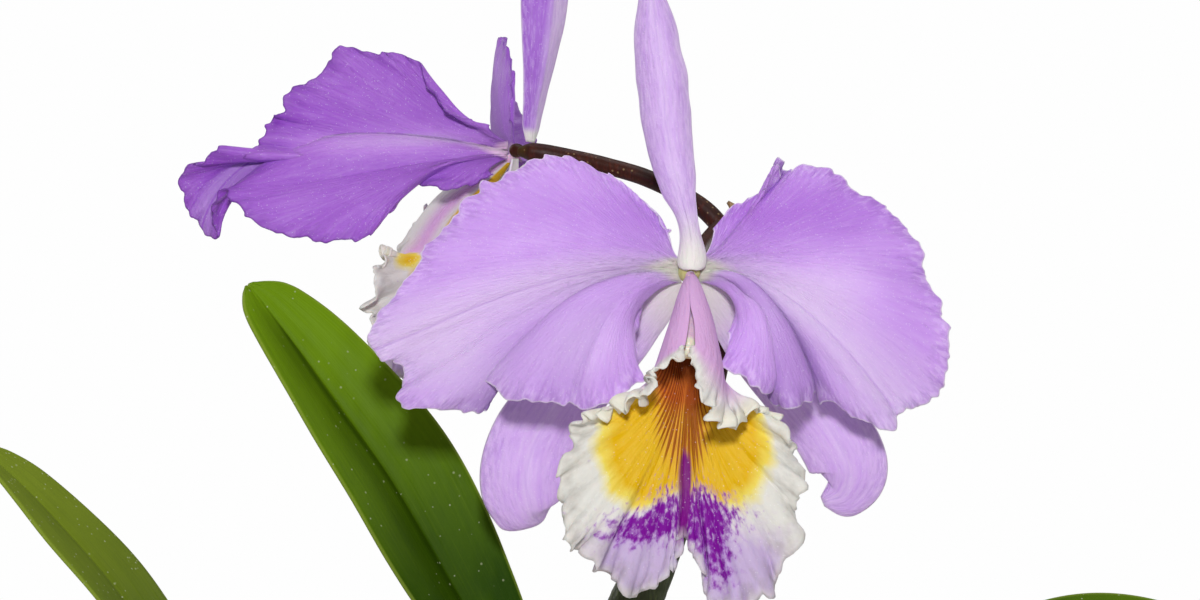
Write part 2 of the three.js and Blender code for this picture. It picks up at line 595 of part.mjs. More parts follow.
const ROOT_RADIUS = profile([[0, 2.1], [0.8, 1.9], [1, 1.3]]);
const ROOT_SHAPE = { radius: ROOT_RADIUS, sides: 6, up: [0.3, 0.2, 1] };
const root = (path) => ({ ...ROOT_SHAPE, path, steps: 3 * path.length - 6 });
const ROOTS = [
  root([
    [0, -8, 102], [-6, -20, 104.5], [-15, -36, 106.5], [-22, -51, 112], [-27, -62.5, 116],
    [-30.5, -69.5, 110], [-31.5, -70.5, 96], [-31, -69, 80], [-31.5, -67, 64], [-34, -63, 50],
  ]),
  root([
    [20, -2, 102], [31, -12, 104.5], [44, -20, 107], [56, -26, 113], [64.5, -31, 115],
    [70, -33.5, 108], [70.5, -33.5, 94], [68, -33, 79],
  ]),
  root([[-33, 10, 102], [-40, 16, 104.5], [-44, 23, 102], [-44.5, 28, 94], [-43, 31, 82]]),
  root([[-27, 0, 102], [-32, -14, 104.5], [-36, -25, 102.5], [-37, -31, 93], [-35, -34, 80]]),
  root([[16, -4, 102], [20, -18, 104.5], [24, -30, 102.5], [25, -37, 94], [24, -42, 82]]),
];

add(plant, "rhizome", stalk(RHIZOME), RHIZOME_BROWN);
BULBS.forEach((size, i) => {
  add(plant, `pseudobulb_${i + 1}`, cut(stalk(size), stalk(RHIZOME, SEAT_GAP)), BULB_GREEN);
});
ROOTS.forEach((size, i) => {
  const neighbours = BULBS.slice(0, 3).map((other) => stalk(other, SEAT_GAP));
  add(plant, `root_${i + 1}`, cut(stalk(size), stalk(RHIZOME, SEAT_GAP), ...neighbours), ROOT_GREY);
});
LEAVES.forEach((size, i) => {
  const neighbours = [stalk(BULBS[i], SEAT_GAP), stalk({ ...SHEATH, bore: 0 }, SEAT_GAP)];
  add(plant, `leaf_${i + 1}`, cut(blade(strap(size), 6, 10, LEAF_THICKNESS), ...neighbours), LEAF_GREEN);
});

// ---- pot and bark ---------------------------------------------------------------------------------

const POT_FLARE = (POT_RIM_RADIUS - COLLAR_STEP - POT_BASE_RADIUS) / POT_HEIGHT;
const potRadiusAt = (z) => POT_BASE_RADIUS + POT_FLARE * z;
const lathe = (outline) => {
  const points = [...outline, outline[0]].map(([r, z]) => new THREE.Vector2(r, z));
  return new THREE.LatheGeometry(points, POT_SIDES).rotateX(Math.PI / 2);
};
const collarBase = POT_HEIGHT - COLLAR_HEIGHT;
const shell = lathe([
  [0, 0],
  [POT_BASE_RADIUS - 1.5, 0],
  [POT_BASE_RADIUS, 1.5],
  [potRadiusAt(collarBase), collarBase],
  [potRadiusAt(collarBase) + COLLAR_STEP + 0.5, collarBase + 3],
  [POT_RIM_RADIUS, POT_HEIGHT - 2],
  [POT_RIM_RADIUS - 1.5, POT_HEIGHT],
  [POT_RIM_RADIUS - POT_WALL - 1, POT_HEIGHT],
  [potRadiusAt(POT_HEIGHT) - POT_WALL, POT_HEIGHT - 3],
  [potRadiusAt(POT_FLOOR) - POT_WALL, POT_FLOOR],
  [0, POT_FLOOR],
]);
const holes = Array.from({ length: DRAIN_HOLES }, (_, i) => {
  const angle = (2 * Math.PI * (i + 0.5)) / DRAIN_HOLES;
  const [x, y] = [DRAIN_HOLE_RING * Math.cos(angle), DRAIN_HOLE_RING * Math.sin(angle)];
  const hole = new THREE.CylinderGeometry(DRAIN_HOLE_RADIUS, DRAIN_HOLE_RADIUS, 3 * POT_FLOOR, 16);
  return hole.rotateX(Math.PI / 2).translate(x, y, 0);
});
add(plant, "pot", cut(shell, ...holes), TERRACOTTA);

// Bark chips lie on the fill at random, fused with it, and leave room for what grows through them.
function barkChips() {
  seededRandom(7);
  return Array.from({ length: BARK_CHIPS }, (_, i) => {
    const chip = new THREE.BoxGeometry(...CHIP_SIZE.map((side) => side * (0.7 + 0.6 * seededRandom())));
    chip.rotateX(0.5 * (seededRandom() - 0.5)).rotateY(0.5 * (seededRandom() - 0.5));
    chip.rotateZ(Math.PI * seededRandom());
    const ring = 47 * Math.sqrt((i + 0.5) / BARK_CHIPS);
    const angle = 2.4 * i;
    return toSolid(chip.translate(ring * Math.cos(angle), ring * Math.sin(angle), BARK_TOP));
  });
}
const fillRadiusAt = (z) => potRadiusAt(z) - POT_WALL - SEAT_GAP;
const fillTo = (top) => {
  const base = POT_FLOOR + SEAT_GAP;
  return toSolid(lathe([[0, base], [fillRadiusAt(base), base], [fillRadiusAt(top), top], [0, top]]));
};
const heap = barkChips().reduce((solid, chip) => solid.add(chip), fillTo(BARK_TOP));
const bark = heap.intersect(fillTo(POT_HEIGHT - 4));
const buried = [RHIZOME, ...BULBS, ...ROOTS].map((size) => stalk(size, SEAT_GAP));
add(plant, "bark", cut(toGeometry(bark), ...buried), BARK_BROWN);

export default plant;
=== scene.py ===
"""A potted cattleya orchid in flower: two frilled lilac blooms on one stem, with leaves, bulbs and pot.

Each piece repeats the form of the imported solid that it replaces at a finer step, and adds the veins,
crumples and frills that the solid leaves out. Sizes are millimetres, and meshes are made in metres.
"""
import json
import logging
import math
from dataclasses import dataclass, replace
from enum import Enum
from typing import Callable, Mapping, Sequence

import bpy
import numpy as np
from bpy.types import ID, Collection, Material, Mesh, Node, NodeSocket, NodeTree, Object
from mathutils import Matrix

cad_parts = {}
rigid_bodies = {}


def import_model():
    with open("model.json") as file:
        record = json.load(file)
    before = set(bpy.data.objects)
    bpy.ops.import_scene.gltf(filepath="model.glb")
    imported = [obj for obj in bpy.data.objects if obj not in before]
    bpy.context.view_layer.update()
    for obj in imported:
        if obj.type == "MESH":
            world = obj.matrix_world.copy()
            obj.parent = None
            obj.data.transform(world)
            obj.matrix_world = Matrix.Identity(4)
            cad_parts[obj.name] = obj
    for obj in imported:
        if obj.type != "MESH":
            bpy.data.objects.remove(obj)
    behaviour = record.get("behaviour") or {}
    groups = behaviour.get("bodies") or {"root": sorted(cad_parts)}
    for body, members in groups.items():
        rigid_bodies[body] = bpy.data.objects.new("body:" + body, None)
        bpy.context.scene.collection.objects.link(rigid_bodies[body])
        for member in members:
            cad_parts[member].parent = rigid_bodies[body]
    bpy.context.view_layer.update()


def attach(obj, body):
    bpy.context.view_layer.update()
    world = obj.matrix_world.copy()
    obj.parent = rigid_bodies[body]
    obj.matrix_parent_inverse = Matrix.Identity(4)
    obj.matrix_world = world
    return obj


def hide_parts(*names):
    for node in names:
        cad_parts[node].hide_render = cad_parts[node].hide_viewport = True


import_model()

MM = 0.001
log = logging.getLogger("cattleya")

Array = np.ndarray
Point = tuple[float, float, float]
Pairs = Sequence[tuple[float, float]]
Rule = Callable[[Array, Array], Array | float]  # a value from angle and share


class Slot(Enum):
    """The record's material slots."""

    PETAL = "petal"
    SEPAL = "sepal"
    LIP = "lip"
    COLUMN = "column"
    STEM = "stem"
    SHEATH = "sheath"
    BRACT = "bract"
    LEAF = "leaf"
    BULB = "pseudobulb"
    RHIZOME = "rhizome"
    ROOT = "root"
    BARK = "bark"
    TERRACOTTA = "terracotta"


# ---- curves, profiles and noise


class Path:
    """A smooth open curve through points, each stretch an equal share of it."""

    def __init__(self, points: Sequence[Point]) -> None:
        """Keeps the points, with one more past each end.

        Args:
            points: The points that the curve runs through.
        """
        inner = np.asarray(points, float)
        self.last = len(inner) - 1
        self.points = np.vstack([2 * inner[0] - inner[1], inner, 2 * inner[-1] - inner[-2]])

    def at(self, share: Array) -> Array:
        """Finds points on the curve.

        Args:
            share: Shares of the curve from 0 to 1, in any shape.

        Returns:
            One point for each share, along a new last axis.
        """
        place = np.clip(np.asarray(share, float), 0, 1) * self.last
        start = np.minimum(np.floor(place).astype(int), self.last - 1)
        w = (place - start)[..., None]
        a, b, c, d = (self.points[start + k] for k in range(4))
        spans = (b - a, c - b, d - c)
        ab, bc, cd = (np.sqrt(np.linalg.norm(span, axis=-1, keepdims=True)) for span in spans)
        leave = ((b - a) / ab - (c - a) / (ab + bc) + (c - b) / bc) * bc
        arrive = ((c - b) / bc - (d - b) / (bc + cd) + (d - c) / cd) * bc
        cubic = 2 * b - 2 * c + leave + arrive
        square = 3 * c - 3 * b - 2 * leave - arrive
        return ((cubic * w + square) * w + leave) * w + b

    def tangent(self, share: Array) -> Array:
        """Finds unit directions along the curve.

        Args:
            share: Shares of the curve from 0 to 1.

        Returns:
            One unit vector for each share.
        """
        share = np.asarray(share, float)
        return unit(self.at(np.minimum(share + 1e-4, 1)) - self.at(np.maximum(share - 1e-4, 0)))


def unit(vectors: Array) -> Array:
    """Gives vectors their direction at length 1."""
    return vectors / np.maximum(np.linalg.norm(vectors, axis=-1, keepdims=True), 1e-12)


def profile(pairs: Pairs) -> Callable[[Array], Array]:
    """Makes a size that runs smoothly through pairs.

    Args:
        pairs: Share and value at each place.

    Returns:
        A function from shares to values.
    """
    share, value = (np.array(column, float) for column in zip(*pairs))
    last = len(share) - 1
    before, after = np.maximum(np.arange(last + 1) - 1, 0), np.minimum(np.arange(last + 1) + 1, last)
    slope = (value[after] - value[before]) / (share[after] - share[before])

    def run(t: Array) -> Array:
        """Reads the profile.

        Args:
            t: Shares.

        Returns:
            The value at each.
        """
        i = np.clip(np.searchsorted(share, t), 1, last)
        span = share[i] - share[i - 1]
        x = np.clip((t - share[i - 1]) / span, 0, 1)
        rest = 1 - x
        ends = value[i - 1] * rest**2 * (1 + 2 * x) + value[i] * x**2 * (3 - 2 * x)
        return ends + span * x * rest * (slope[i - 1] * rest - slope[i] * x)

    return run


def rise(x: Array, low: float, high: float) -> Array:
    """Goes smoothly from 0 at low to 1 at high."""
    t = np.clip((np.asarray(x, float) - low) / (high - low), 0, 1)
    return t * t * (3 - 2 * t)


def bump(x: Array, middle: float, width: float) -> Array:
    """Makes a soft hill of height 1 round a middle."""
    return np.exp(-(((np.asarray(x, float) - middle) / width) ** 2))


def drift(seed: int, x: Array, y: Array | float = 0.0) -> Array:
    """Gives smooth seeded noise from -1 to 1 that changes about once a unit.

    Args:
        seed: Picks the pattern.
        x: First place, in any shape.
        y: Second place, that spreads with x.

    Returns:
        One value for each place.
    """
    x, y = np.broadcast_arrays(np.asarray(x, float), np.asarray(y, float))
    i, j = np.floor(x).astype(int), np.floor(y).astype(int)
    fx, fy = (x - i) ** 2 * (3 - 2 * (x - i)), (y - j) ** 2 * (3 - 2 * (y - j))
    count, step, row = 4096, 57, 1031
    table = np.random.default_rng(seed).uniform(-1, 1, count)
    a, b, c, d = (table[((i + di) * step + (j + dj) * row) % count] for dj in (0, 1) for di in (0, 1))
    return (a * (1 - fx) + b * fx) * (1 - fy) + (c * (1 - fx) + d * fx) * fy


def along(line: Array) -> Array:
    """Measures how far each point of a line lies from its first, in its own unit."""
    steps = np.linalg.norm(np.diff(line, axis=0), axis=-1)
    return np.concatenate([np.zeros_like(steps[:1]), np.cumsum(steps, axis=0)])


# ---- meshes


def numbered(rings: int, sides: int) -> tuple[Array, Array]:
    """Numbers a tube's points, one row a ring, and gives the number of each one's neighbour in its ring."""
    number = np.arange(rings * sides).reshape(rings, sides)
    return number, np.roll(number, -1, axis=1)


def tube_faces(number: Array, after: Array) -> Array:
    """Joins a tube's rings with faces, from its points' numbers and those of their neighbours."""
    return np.stack([number[:-1], after[:-1], after[1:], number[1:]], -1).reshape(-1, 4)


def capped_faces(rings: int, sides: int) -> list[list[int]]:
    """Joins a tube's rings and closes its ends, with the two end faces last."""
    number, after = numbered(rings, sides)
    return tube_faces(number, after).tolist() + [number[0, ::-1].tolist(), number[-1].tolist()]


def ring_angles(sides: int) -> Array:
    """Spreads the sides of a round thing over a full turn, as one row."""
    return np.linspace(0, 2 * np.pi, sides, endpoint=False)[None, :]


def around(side: Array, front: Array, angle: Array) -> Array:
    """Gives a unit vector at each angle, from a side at 0 towards a front at a quarter turn."""
    return side * np.cos(angle)[..., None] + front * np.sin(angle)[..., None]


def make_mesh(name: str, points: Array, faces: Array | Sequence[Sequence[int]], smooth: bool = True) -> Mesh:
    """Makes a mesh whose faces point outwards.

    Args:
        name: The mesh's name.
        points: Places in millimetres, one a row.
        faces: Corner numbers of each face.
        smooth: Whether it is shaded smooth.

    Returns:
        The mesh, in metres.
    """
    points = np.asarray(points, float) * MM
    faces = [[int(corner) for corner in face] for face in faces]
    volume = 0.0
    for size in {len(face) for face in faces}:
        ring = points[np.array([face for face in faces if len(face) == size])]
        for k in range(1, size - 1):
            volume += float(np.sum(np.cross(ring[:, k], ring[:, k + 1]) * ring[:, 0]))
    if volume < 0:
        faces = [face[::-1] for face in faces]
    mesh = bpy.data.meshes.new(name)
    mesh.from_pydata(points.tolist(), [], faces)
    mesh.polygons.foreach_set("use_smooth", [smooth] * len(faces))
    mesh.validate()
    mesh.update()
    return mesh


def paint_masks(mesh: Mesh, masks: Mapping[str, Array]) -> None:
    """Stores one number a point under each name, for the finishes to read.

    Args:
        mesh: The mesh.
        masks: Values for each name, one a point.
    """
    for name, values in masks.items():
        layer = mesh.attributes.new(name, "FLOAT", "POINT")
        layer.data.foreach_set("value", np.asarray(values, np.float32).ravel())


def places_of(mesh: Mesh) -> Array:
    """Reads a mesh's points.

    Args:
        mesh: The mesh.

    Returns:
        Places in millimetres, one a row.
    """
    flat = np.empty(3 * len(mesh.vertices))
    mesh.vertices.foreach_get("co", flat)
    return flat.reshape(-1, 3) / MM


def lay_uv(mesh: Mesh, name: str, places: Array) -> None:
    """Gives a mesh a UV map from one place a point.

    Args:
        mesh: The mesh.
        name: The map's name.
        places: U and V of each point.
    """
    corners = np.empty(len(mesh.loops), np.int64)
    mesh.loops.foreach_get("vertex_index", corners)
    layer = mesh.uv_layers.new(name=name)
    layer.data.foreach_set("uv", places.astype(np.float32)[corners].ravel())


def shown(name: str, data: ID) -> Object:
    """Puts a mesh, lamp or camera in the scene.

    Args:
        name: The object's name.
        data: What it shows.

    Returns:
        The new object.
    """
    item = bpy.data.objects.new(name, data)
    bpy.context.scene.collection.objects.link(item)
    return item


def kept(holder: Object, name: str) -> Mesh:
    """Keeps what an object's modifiers make, and takes the object away.

    Args:
        holder: The object.
        name: The new mesh's name.

    Returns:
        A plain mesh.
    """
    mesh = bpy.data.meshes.new_from_object(holder.evaluated_get(bpy.context.evaluated_depsgraph_get()))
    mesh.name = name
    holder.modifiers.clear()
    bpy.data.objects.remove(holder)
    return mesh


def joined(name: str, parts: Sequence[Mesh]) -> Mesh:
    """Makes one mesh of several, with their materials, masks and UV maps.

    Args:
        name: The new mesh's name.
        parts: The meshes, which are used up.

    Returns:
        The joined mesh.
    """
    objects = [shown(part.name, part) for part in parts]
    with bpy.context.temp_override(active_object=objects[0], selected_editable_objects=objects):
        bpy.ops.object.join()
    mesh = objects[0].data
    mesh.name = name
    bpy.data.objects.remove(objects[0])
    return mesh


def place(mesh: Mesh, node: str, slot: Slot) -> None:
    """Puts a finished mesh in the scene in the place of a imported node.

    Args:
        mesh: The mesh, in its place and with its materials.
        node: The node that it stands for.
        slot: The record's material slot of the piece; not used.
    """
    piece = shown(mesh.name, mesh)
    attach(piece, "root")
    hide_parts(node)
    triangles = sum(len(face.vertices) - 2 for face in mesh.polygons)
    log.info("%s: %d triangles, for %s", piece.name, triangles, node)


def grown(name: str, seed: Mesh, tree: NodeTree, inputs: Mapping[str, object]) -> Mesh:
    """Runs a Geometry Nodes tree on a mesh and keeps what it makes.

    Args:
        name: The new mesh's name.
        seed: The mesh that the tree starts from.
        tree: The tree.
        inputs: Values for the tree's named inputs.

    Returns:
        A plain mesh.
    """
    holder = shown(name, seed)
    modifier = holder.modifiers.new("growth", "NODES")
    modifier.node_group = tree
    sockets = {item.name: item.identifier for item in tree.interface.items_tree if item.in_out == "INPUT"}
    for key, value in inputs.items():
        modifier[sockets[key]] = value
    return kept(holder, name)


# ---- nodes


def linear(colour: str) -> tuple[float, float, float, float]:
    """Turns an sRGB hex colour into linear light.

    Args:
        colour: Six hex digits.

    Returns:
        Red, green, blue and 1.
    """
    parts = [int(colour[k : k + 2], 16) / 255 for k in (0, 2, 4)]
    red, green, blue = (p / 12.92 if p <= 0.04045 else ((p + 0.055) / 1.055) ** 2.4 for p in parts)
    return red, green, blue, 1.0


def add_node(tree: NodeTree, kind: str, sockets: Mapping[str | int, object] | None = None,
             **settings: object) -> Node:
    """Adds a node with its settings and links.

    Args:
        tree: The tree that it goes into.
        kind: The node's type.
        sockets: For each input, another node or its output to link, or a value to set.
        **settings: Values of the node's own properties.

    Returns:
        The node.
    """
    made = tree.nodes.new(kind)
    for name, value in settings.items():
        setattr(made, name, value)
    for key, value in (sockets or {}).items():
        if isinstance(value, Node):
            value = value.outputs[0]
        if isinstance(value, NodeSocket):
            tree.links.new(value, made.inputs[key])
        else:
            made.inputs[key].default_value = value
    return made


def new_growth(name: str, inputs: Mapping[str, str], output: str) -> NodeTree:
    """Starts a Geometry Nodes tree.

    Args:
        name: The tree's name.
        inputs: The kind of each named input.
        output: The name of the shape that it gives back.

    Returns:
        The tree, with no nodes yet.
    """
    tree = bpy.data.node_groups.new(name, "GeometryNodeTree")
    for key, kind in inputs.items():
        tree.interface.new_socket(key, in_out="INPUT", socket_type="NodeSocket" + kind)
    tree.interface.new_socket(output, in_out="OUTPUT", socket_type="NodeSocketGeometry")
    return tree


# ---- forms of petals, sepals, leaves and lips


def bezier(points: Sequence[Array], t: Array) -> Array:
    """Runs along a cubic.

    Args:
        points: Its four control points.
        t: Shares of the way.

    Returns:
        The place at each share.
    """
    a, b, c, d = points
    rest = 1 - t
    return a * rest**3 + 3 * b * rest**2 * t + 3 * c * rest * t**2 + d * t**3


@dataclass(frozen=True)
class Fan:
    """A broad petal, whose veins leave the claw along the midrib and fan out to the margin.

    The margin's waves, over that share of its round, only reach the blade's outer part. Each bow bends the
    veins one way, by as much as its pairs give for each share of the round.
    """

    claw: tuple[Point, Point]
    midrib: Point
    margin: Sequence[Point]
    billow: float
    waves: float
    bows: Sequence[tuple[Point, Pairs]]

    def at(self, u: Array, v: Array) -> Array:
        """Finds the blade's middle.

        Args:
            u: Shares round the margin.
            v: Shares from the claw to the margin.

        Returns:
            Points, one row for each u.
        """
        edge = Path(self.margin)
        shifts = [-self.waves, -self.waves / 2, 0, self.waves / 2, self.waves]
        tip = edge.at(u)[:, None]
        calm = np.mean([edge.at(np.clip(u + shift, 0, 1)) for shift in shifts], axis=0)[:, None]
        upper, lower = (np.array(corner, float) for corner in self.claw)
        root = (upper + (lower - upper) * u[:, None])[:, None]
        out = calm - root
        reach = np.linalg.norm(out, axis=-1, keepdims=True)
        swell = self.billow * np.sin(np.pi * u)[:, None, None] * np.minimum(1, reach / 40)
        sweep = sum(profile(share)(u)[:, None, None] * np.array(way, float) for way, share in self.bows)
        back = np.array([0.0, 1.0, 0.0])
        lead = unit(np.array(self.midrib, float))
        first = root + lead * 0.22 * reach + out * 0.12 + 0.7 * sweep - 0.6 * swell * back
        second = calm - 0.3 * out + sweep - swell * back
        t = v[None, :, None]
        return bezier((root, first, second, calm), t) + (tip - calm) * t**4


@dataclass(frozen=True)
class Strap:
    """A long sepal or leaf: a spine with a width, rolled back or folded up along its midrib.

    Its face turns from the first direction to the second. Its last blunt share is rounded off.
    """

    spine: Sequence[Point]
    face: tuple[Point, Point]
    width: Pairs
    roll: float = 0.0
    fold: float = 0.0
    girth: float = 1.0
    blunt: float = 0.0

    def at(self, u: Array, v: Array) -> Array:
        """Finds the blade's middle.

        Args:
            u: Shares across, from one margin to the other.
            v: Shares along the spine.

        Returns:
            Points, one row for each u.
        """
        path = Path(self.spine)
        tangent = path.tangent(v)
        start, end = (np.array(way, float) for way in self.face)
        side = unit(np.cross(tangent, start + (end - start) * v[:, None]))
        front = np.cross(side, tangent)
        across = (2 * u - 1)[:, None, None]
        taper = np.clip((v - 1 + self.blunt) / max(self.blunt, 1e-9), 0, 1)
        half = (self.girth * profile(self.width)(v) * np.sqrt(1 - 0.98 * taper**2))[None, :, None]
        if self.roll:
            out = np.sin(self.roll * across) / self.roll
            lift = (np.cos(self.roll * across) - 1) / self.roll
        else:
            out = across * math.cos(math.radians(self.fold))
            lift = (np.hypot(across, 0.2) - 0.2) * math.sin(math.radians(self.fold))
        return path.at(v)[None] + side[None] * half * out + front[None] * half * lift


@dataclass(frozen=True)
class Lip:
    """A lip whose sides roll into a tube round the column, then open into a frilled front lobe.

    The tube's closing is its share of a full turn. Near its root one side laps over the other.
    """

    tube: Sequence[Point]
    margin: Sequence[Point]
    tube_share: float = 0.4
    closing: Pairs = ((0, 0.98), (0.45, 0.98), (1, 0.95))
    radius: Pairs = ((0, 0.8), (0.1, 1.9), (0.33, 3.6), (0.67, 6.0), (1, 8.3))
    lap: float = 0.05
    over: float = 0.35
    under: float = -0.3
    frills: float = 20
    frill_height: float = 2.0
    frill_reach: float = 1.0

    def wall(self, share: Array, side: Array) -> Array:
        """Finds points on the tube.

        Args:
            share: Shares along the tube.
            side: Places across, from -1 to 1.

        Returns:
            Points, one row for each side.
        """
        core, right = Path(self.tube), np.array([1.0, 0.0, 0.0])
        seam = (1 - rise(share, 0.5, 0.8))[None] * rise(np.abs(side), 0.7, 0.9)[:, None]
        closing = profile(self.closing)(share)[None] + self.lap * seam * (side > 0)[:, None]
        gap = np.where(side > 0, self.over, self.under)[:, None] * seam
        radius = (profile(self.radius)(share)[None] + gap)[..., None]
        floor = unit(np.cross(right, core.tangent(share)))[None]
        angle = (np.pi * closing * (0.25 * side + 0.75 * side**3)[:, None])[..., None]
        return core.at(share)[None] + radius * (floor * np.cos(angle) + right * np.sin(angle))

    def opened(self, v: Array) -> Array:
        """Gives how far each share of the way lies past the tube, from 0 at its mouth to 1 at the margin."""
        return np.clip((v - self.tube_share) / (1 - self.tube_share), 0, 1)

    def at(self, u: Array, v: Array) -> Array:
        """Finds the blade's middle.

        Args:
            u: Shares round the margin, from the tube's seam round the notch and back.
            v: Shares from the lip's root to the margin.

        Returns:
            Points, one row for each u.
        """
        side = 2 * u - 1
        rolled = self.wall(np.minimum(v / self.tube_share, 1), side)
        throat, before = self.wall(np.array([1.0]), side), self.wall(np.array([0.95]), side)
        tip = Path(self.margin).at(u)[:, None]
        out = tip - throat
        reach = np.linalg.norm(out, axis=-1, keepdims=True)
        first = throat + unit(throat - before) * 0.35 * reach
        second = tip - 0.28 * out - np.array([0, 0.14, 0]) * reach
        t = self.opened(v)[None, :, None]
        lobe = bezier((throat, first, second, tip), t)
        frill = t**3 * np.minimum(1, reach / 18) * np.minimum(1, (side[:, None, None] / 0.18) ** 2)
        phase = (2 * np.pi * self.frills * u)[:, None, None]
        lobe = lobe + unit(out) * self.frill_reach * frill * np.cos(phase)
        lobe = lobe + np.array([0, self.frill_height, 0]) * frill * np.sin(phase)
        return np.where(v[None, :, None] <= self.tube_share, rolled, lobe)


@dataclass(frozen=True)
class Wrap:
    """A sheet wound round a bulb between two shares of it, with a ragged mouth that stands off."""

    path: Sequence[Point]
    radius: Pairs
    span: tuple[float, float]
    turn: float
    gap: float
    seed: int

    def at(self, u: Array, v: Array) -> Array:
        """Finds the sheet's middle.

        Args:
            u: Shares round the bulb.
            v: Shares from the sheet's foot to its mouth.

        Returns:
            Points, one row for each u.
        """
        line, (low, high) = Path(self.path), self.span
        ragged = (0.06 * drift(self.seed, 9 * u) + 0.05 * np.cos(2 * np.pi * u))[:, None] * v[None] ** 2
        share = np.clip(low + (high - low) * v[None] + ragged, 0, 1)
        angle = (self.turn + 2 * np.pi * (0.04 + 0.9 * u))[:, None] + 0 * share
        tangent = line.tangent(share)
        side = unit(np.cross(tangent, [0.0, 1.0, 0.0]))
        front = np.cross(side, tangent)
        reach = profile(self.radius)(share) * (1 - 0.2 * np.sin(angle) ** 2) + 0.55 + self.gap
        reach = reach + (0.5 + 0.6 * drift(self.seed + 1, 6 * u)[:, None]) * v[None] ** 3
        reach = reach + 0.14 * np.sin(40 * np.pi * u)[:, None]
        return line.at(share) + reach[..., None] * around(side, front, angle)


@dataclass
class Sheet:
    """A thin living sheet over a form, as a closed body that thins towards its margins.

    It thins over the fade, to its rim's share of the thickness. Crowding draws its rows to the far margin.
    """

    form: Fan | Strap | Lip | Wrap
    columns: int
    rows: int
    thickness: float
    rim: float = 0.4
    fade: float = 1.5
    crowd: float = 1.0

    def __post_init__(self) -> None:
        """Lays the grid over the form."""
        self.u = np.linspace(0, 1, self.columns + 1)
        self.v = 1 - (1 - np.linspace(0, 1, self.rows + 1)) ** self.crowd
        self.points = self.form.at(self.u, self.v)
        self.settle()

    def settle(self) -> None:
        """Finds the grid's normals, lengths and distances to the margins again."""
        du, dv = np.gradient(self.points, axis=0), np.gradient(self.points, axis=1)
        self.normal = unit(np.cross(du, dv))
        self.outward = unit(dv)
        self.length = along(self.points.transpose(1, 0, 2)).T
        self.width = along(self.points)
        self.far = self.length[:, -1:] - self.length
        self.edge = np.min([self.far, self.width, self.width[-1:] - self.width], axis=0)

    def lift(self, height: Array, outward: Array | float = 0.0) -> None:
        """Moves the blade's points.

        Args:
            height: How far each moves along the blade's normal.
            outward: How far each moves along its vein.
        """
        outward = np.broadcast_to(outward, height.shape)
        self.points = self.points + self.normal * height[..., None] + self.outward * outward[..., None]
        self.settle()

    def grid(self) -> tuple[Array, Array]:
        """Gives u as a column and v as a row."""
        return self.u[:, None], self.v[None, :]

    def rim_length(self) -> Array:
        """Measures the way round the far margin, at each column."""
        return along(self.points[:, -1])[:, None]

    def body(self, name: str, masks: Mapping[str, Array], spread: float, finish: Material) -> Mesh:
        """Makes the closed body.

        Args:
            name: The mesh's name.
            masks: Values for the finish, one a grid point, or one for each face of the blade.
            spread: Millimetres from the first vein to the last, at the margin.
            finish: The material.

        Returns:
            The mesh.
        """
        thinning = self.rim + (1 - self.rim) * np.sqrt(np.clip(self.edge / self.fade, 0, 1))
        offset = self.normal * (self.thickness / 2 * thinning)[..., None]
        number = numbered(*self.points.shape[:2])[0]
        count = number.size
        a, b, c, d = number[:-1, :-1], number[1:, :-1], number[1:, 1:], number[:-1, 1:]
        top = np.stack([a, b, c, d], -1).reshape(-1, 4)
        loop = np.concatenate([number[:, 0], number[-1, 1:], number[-2::-1, -1], number[0, -2:0:-1]])
        after = np.roll(loop, -1)
        rim = np.stack([after, loop, loop + count, after + count], -1)
        faces = np.concatenate([top, top[:, ::-1] + count, rim])
        points = np.concatenate([self.points + offset, self.points - offset]).reshape(-1, 3)
        mesh = make_mesh(name, points, faces)
        values = {"edge": self.edge, **masks}
        paint_masks(mesh, {key: np.broadcast_to(value, (2, *number.shape)) for key, value in values.items()})
        across = np.broadcast_to(self.u[:, None] * spread, number.shape)
        lay_uv(mesh, "veins", np.tile(np.stack([across, self.length], -1).reshape(-1, 2) * MM, (2, 1)))
        mesh.materials.append(finish)
        return mesh


# ---- finishes


ONE_BAND = math.pi / 10  # the scale at which the bands of a wave texture are one unit apart
PALE_LILAC = "ead9f6"


class Kind(Enum):
    """How a pattern is made."""

    MOTTLE = "cloudy spots"
    SPECKS = "single small cells"
    ASIDE = "distance to either side of a line"
    LINES = "lines along the veins"


@dataclass(frozen=True)
class Pattern:
    """A pattern that layers, bumps or roughness can follow, sized in millimetres."""

    name: str
    size: float = 1.0
    stretch: Point = (1.0, 1.0, 1.0)
    detail: float = 2.0
    on_veins: bool = False
    kind: Kind = Kind.MOTTLE
    share: float = 0.05


@dataclass(frozen=True)
class Layer:
    """A colour over the ones below it, from none at low to its full strength at high."""

    colour: str
    where: str
    low: float = 0.0
    high: float = 1.0
    strength: float = 1.0
    broken_by: str = ""
    breaking: float = 0.0


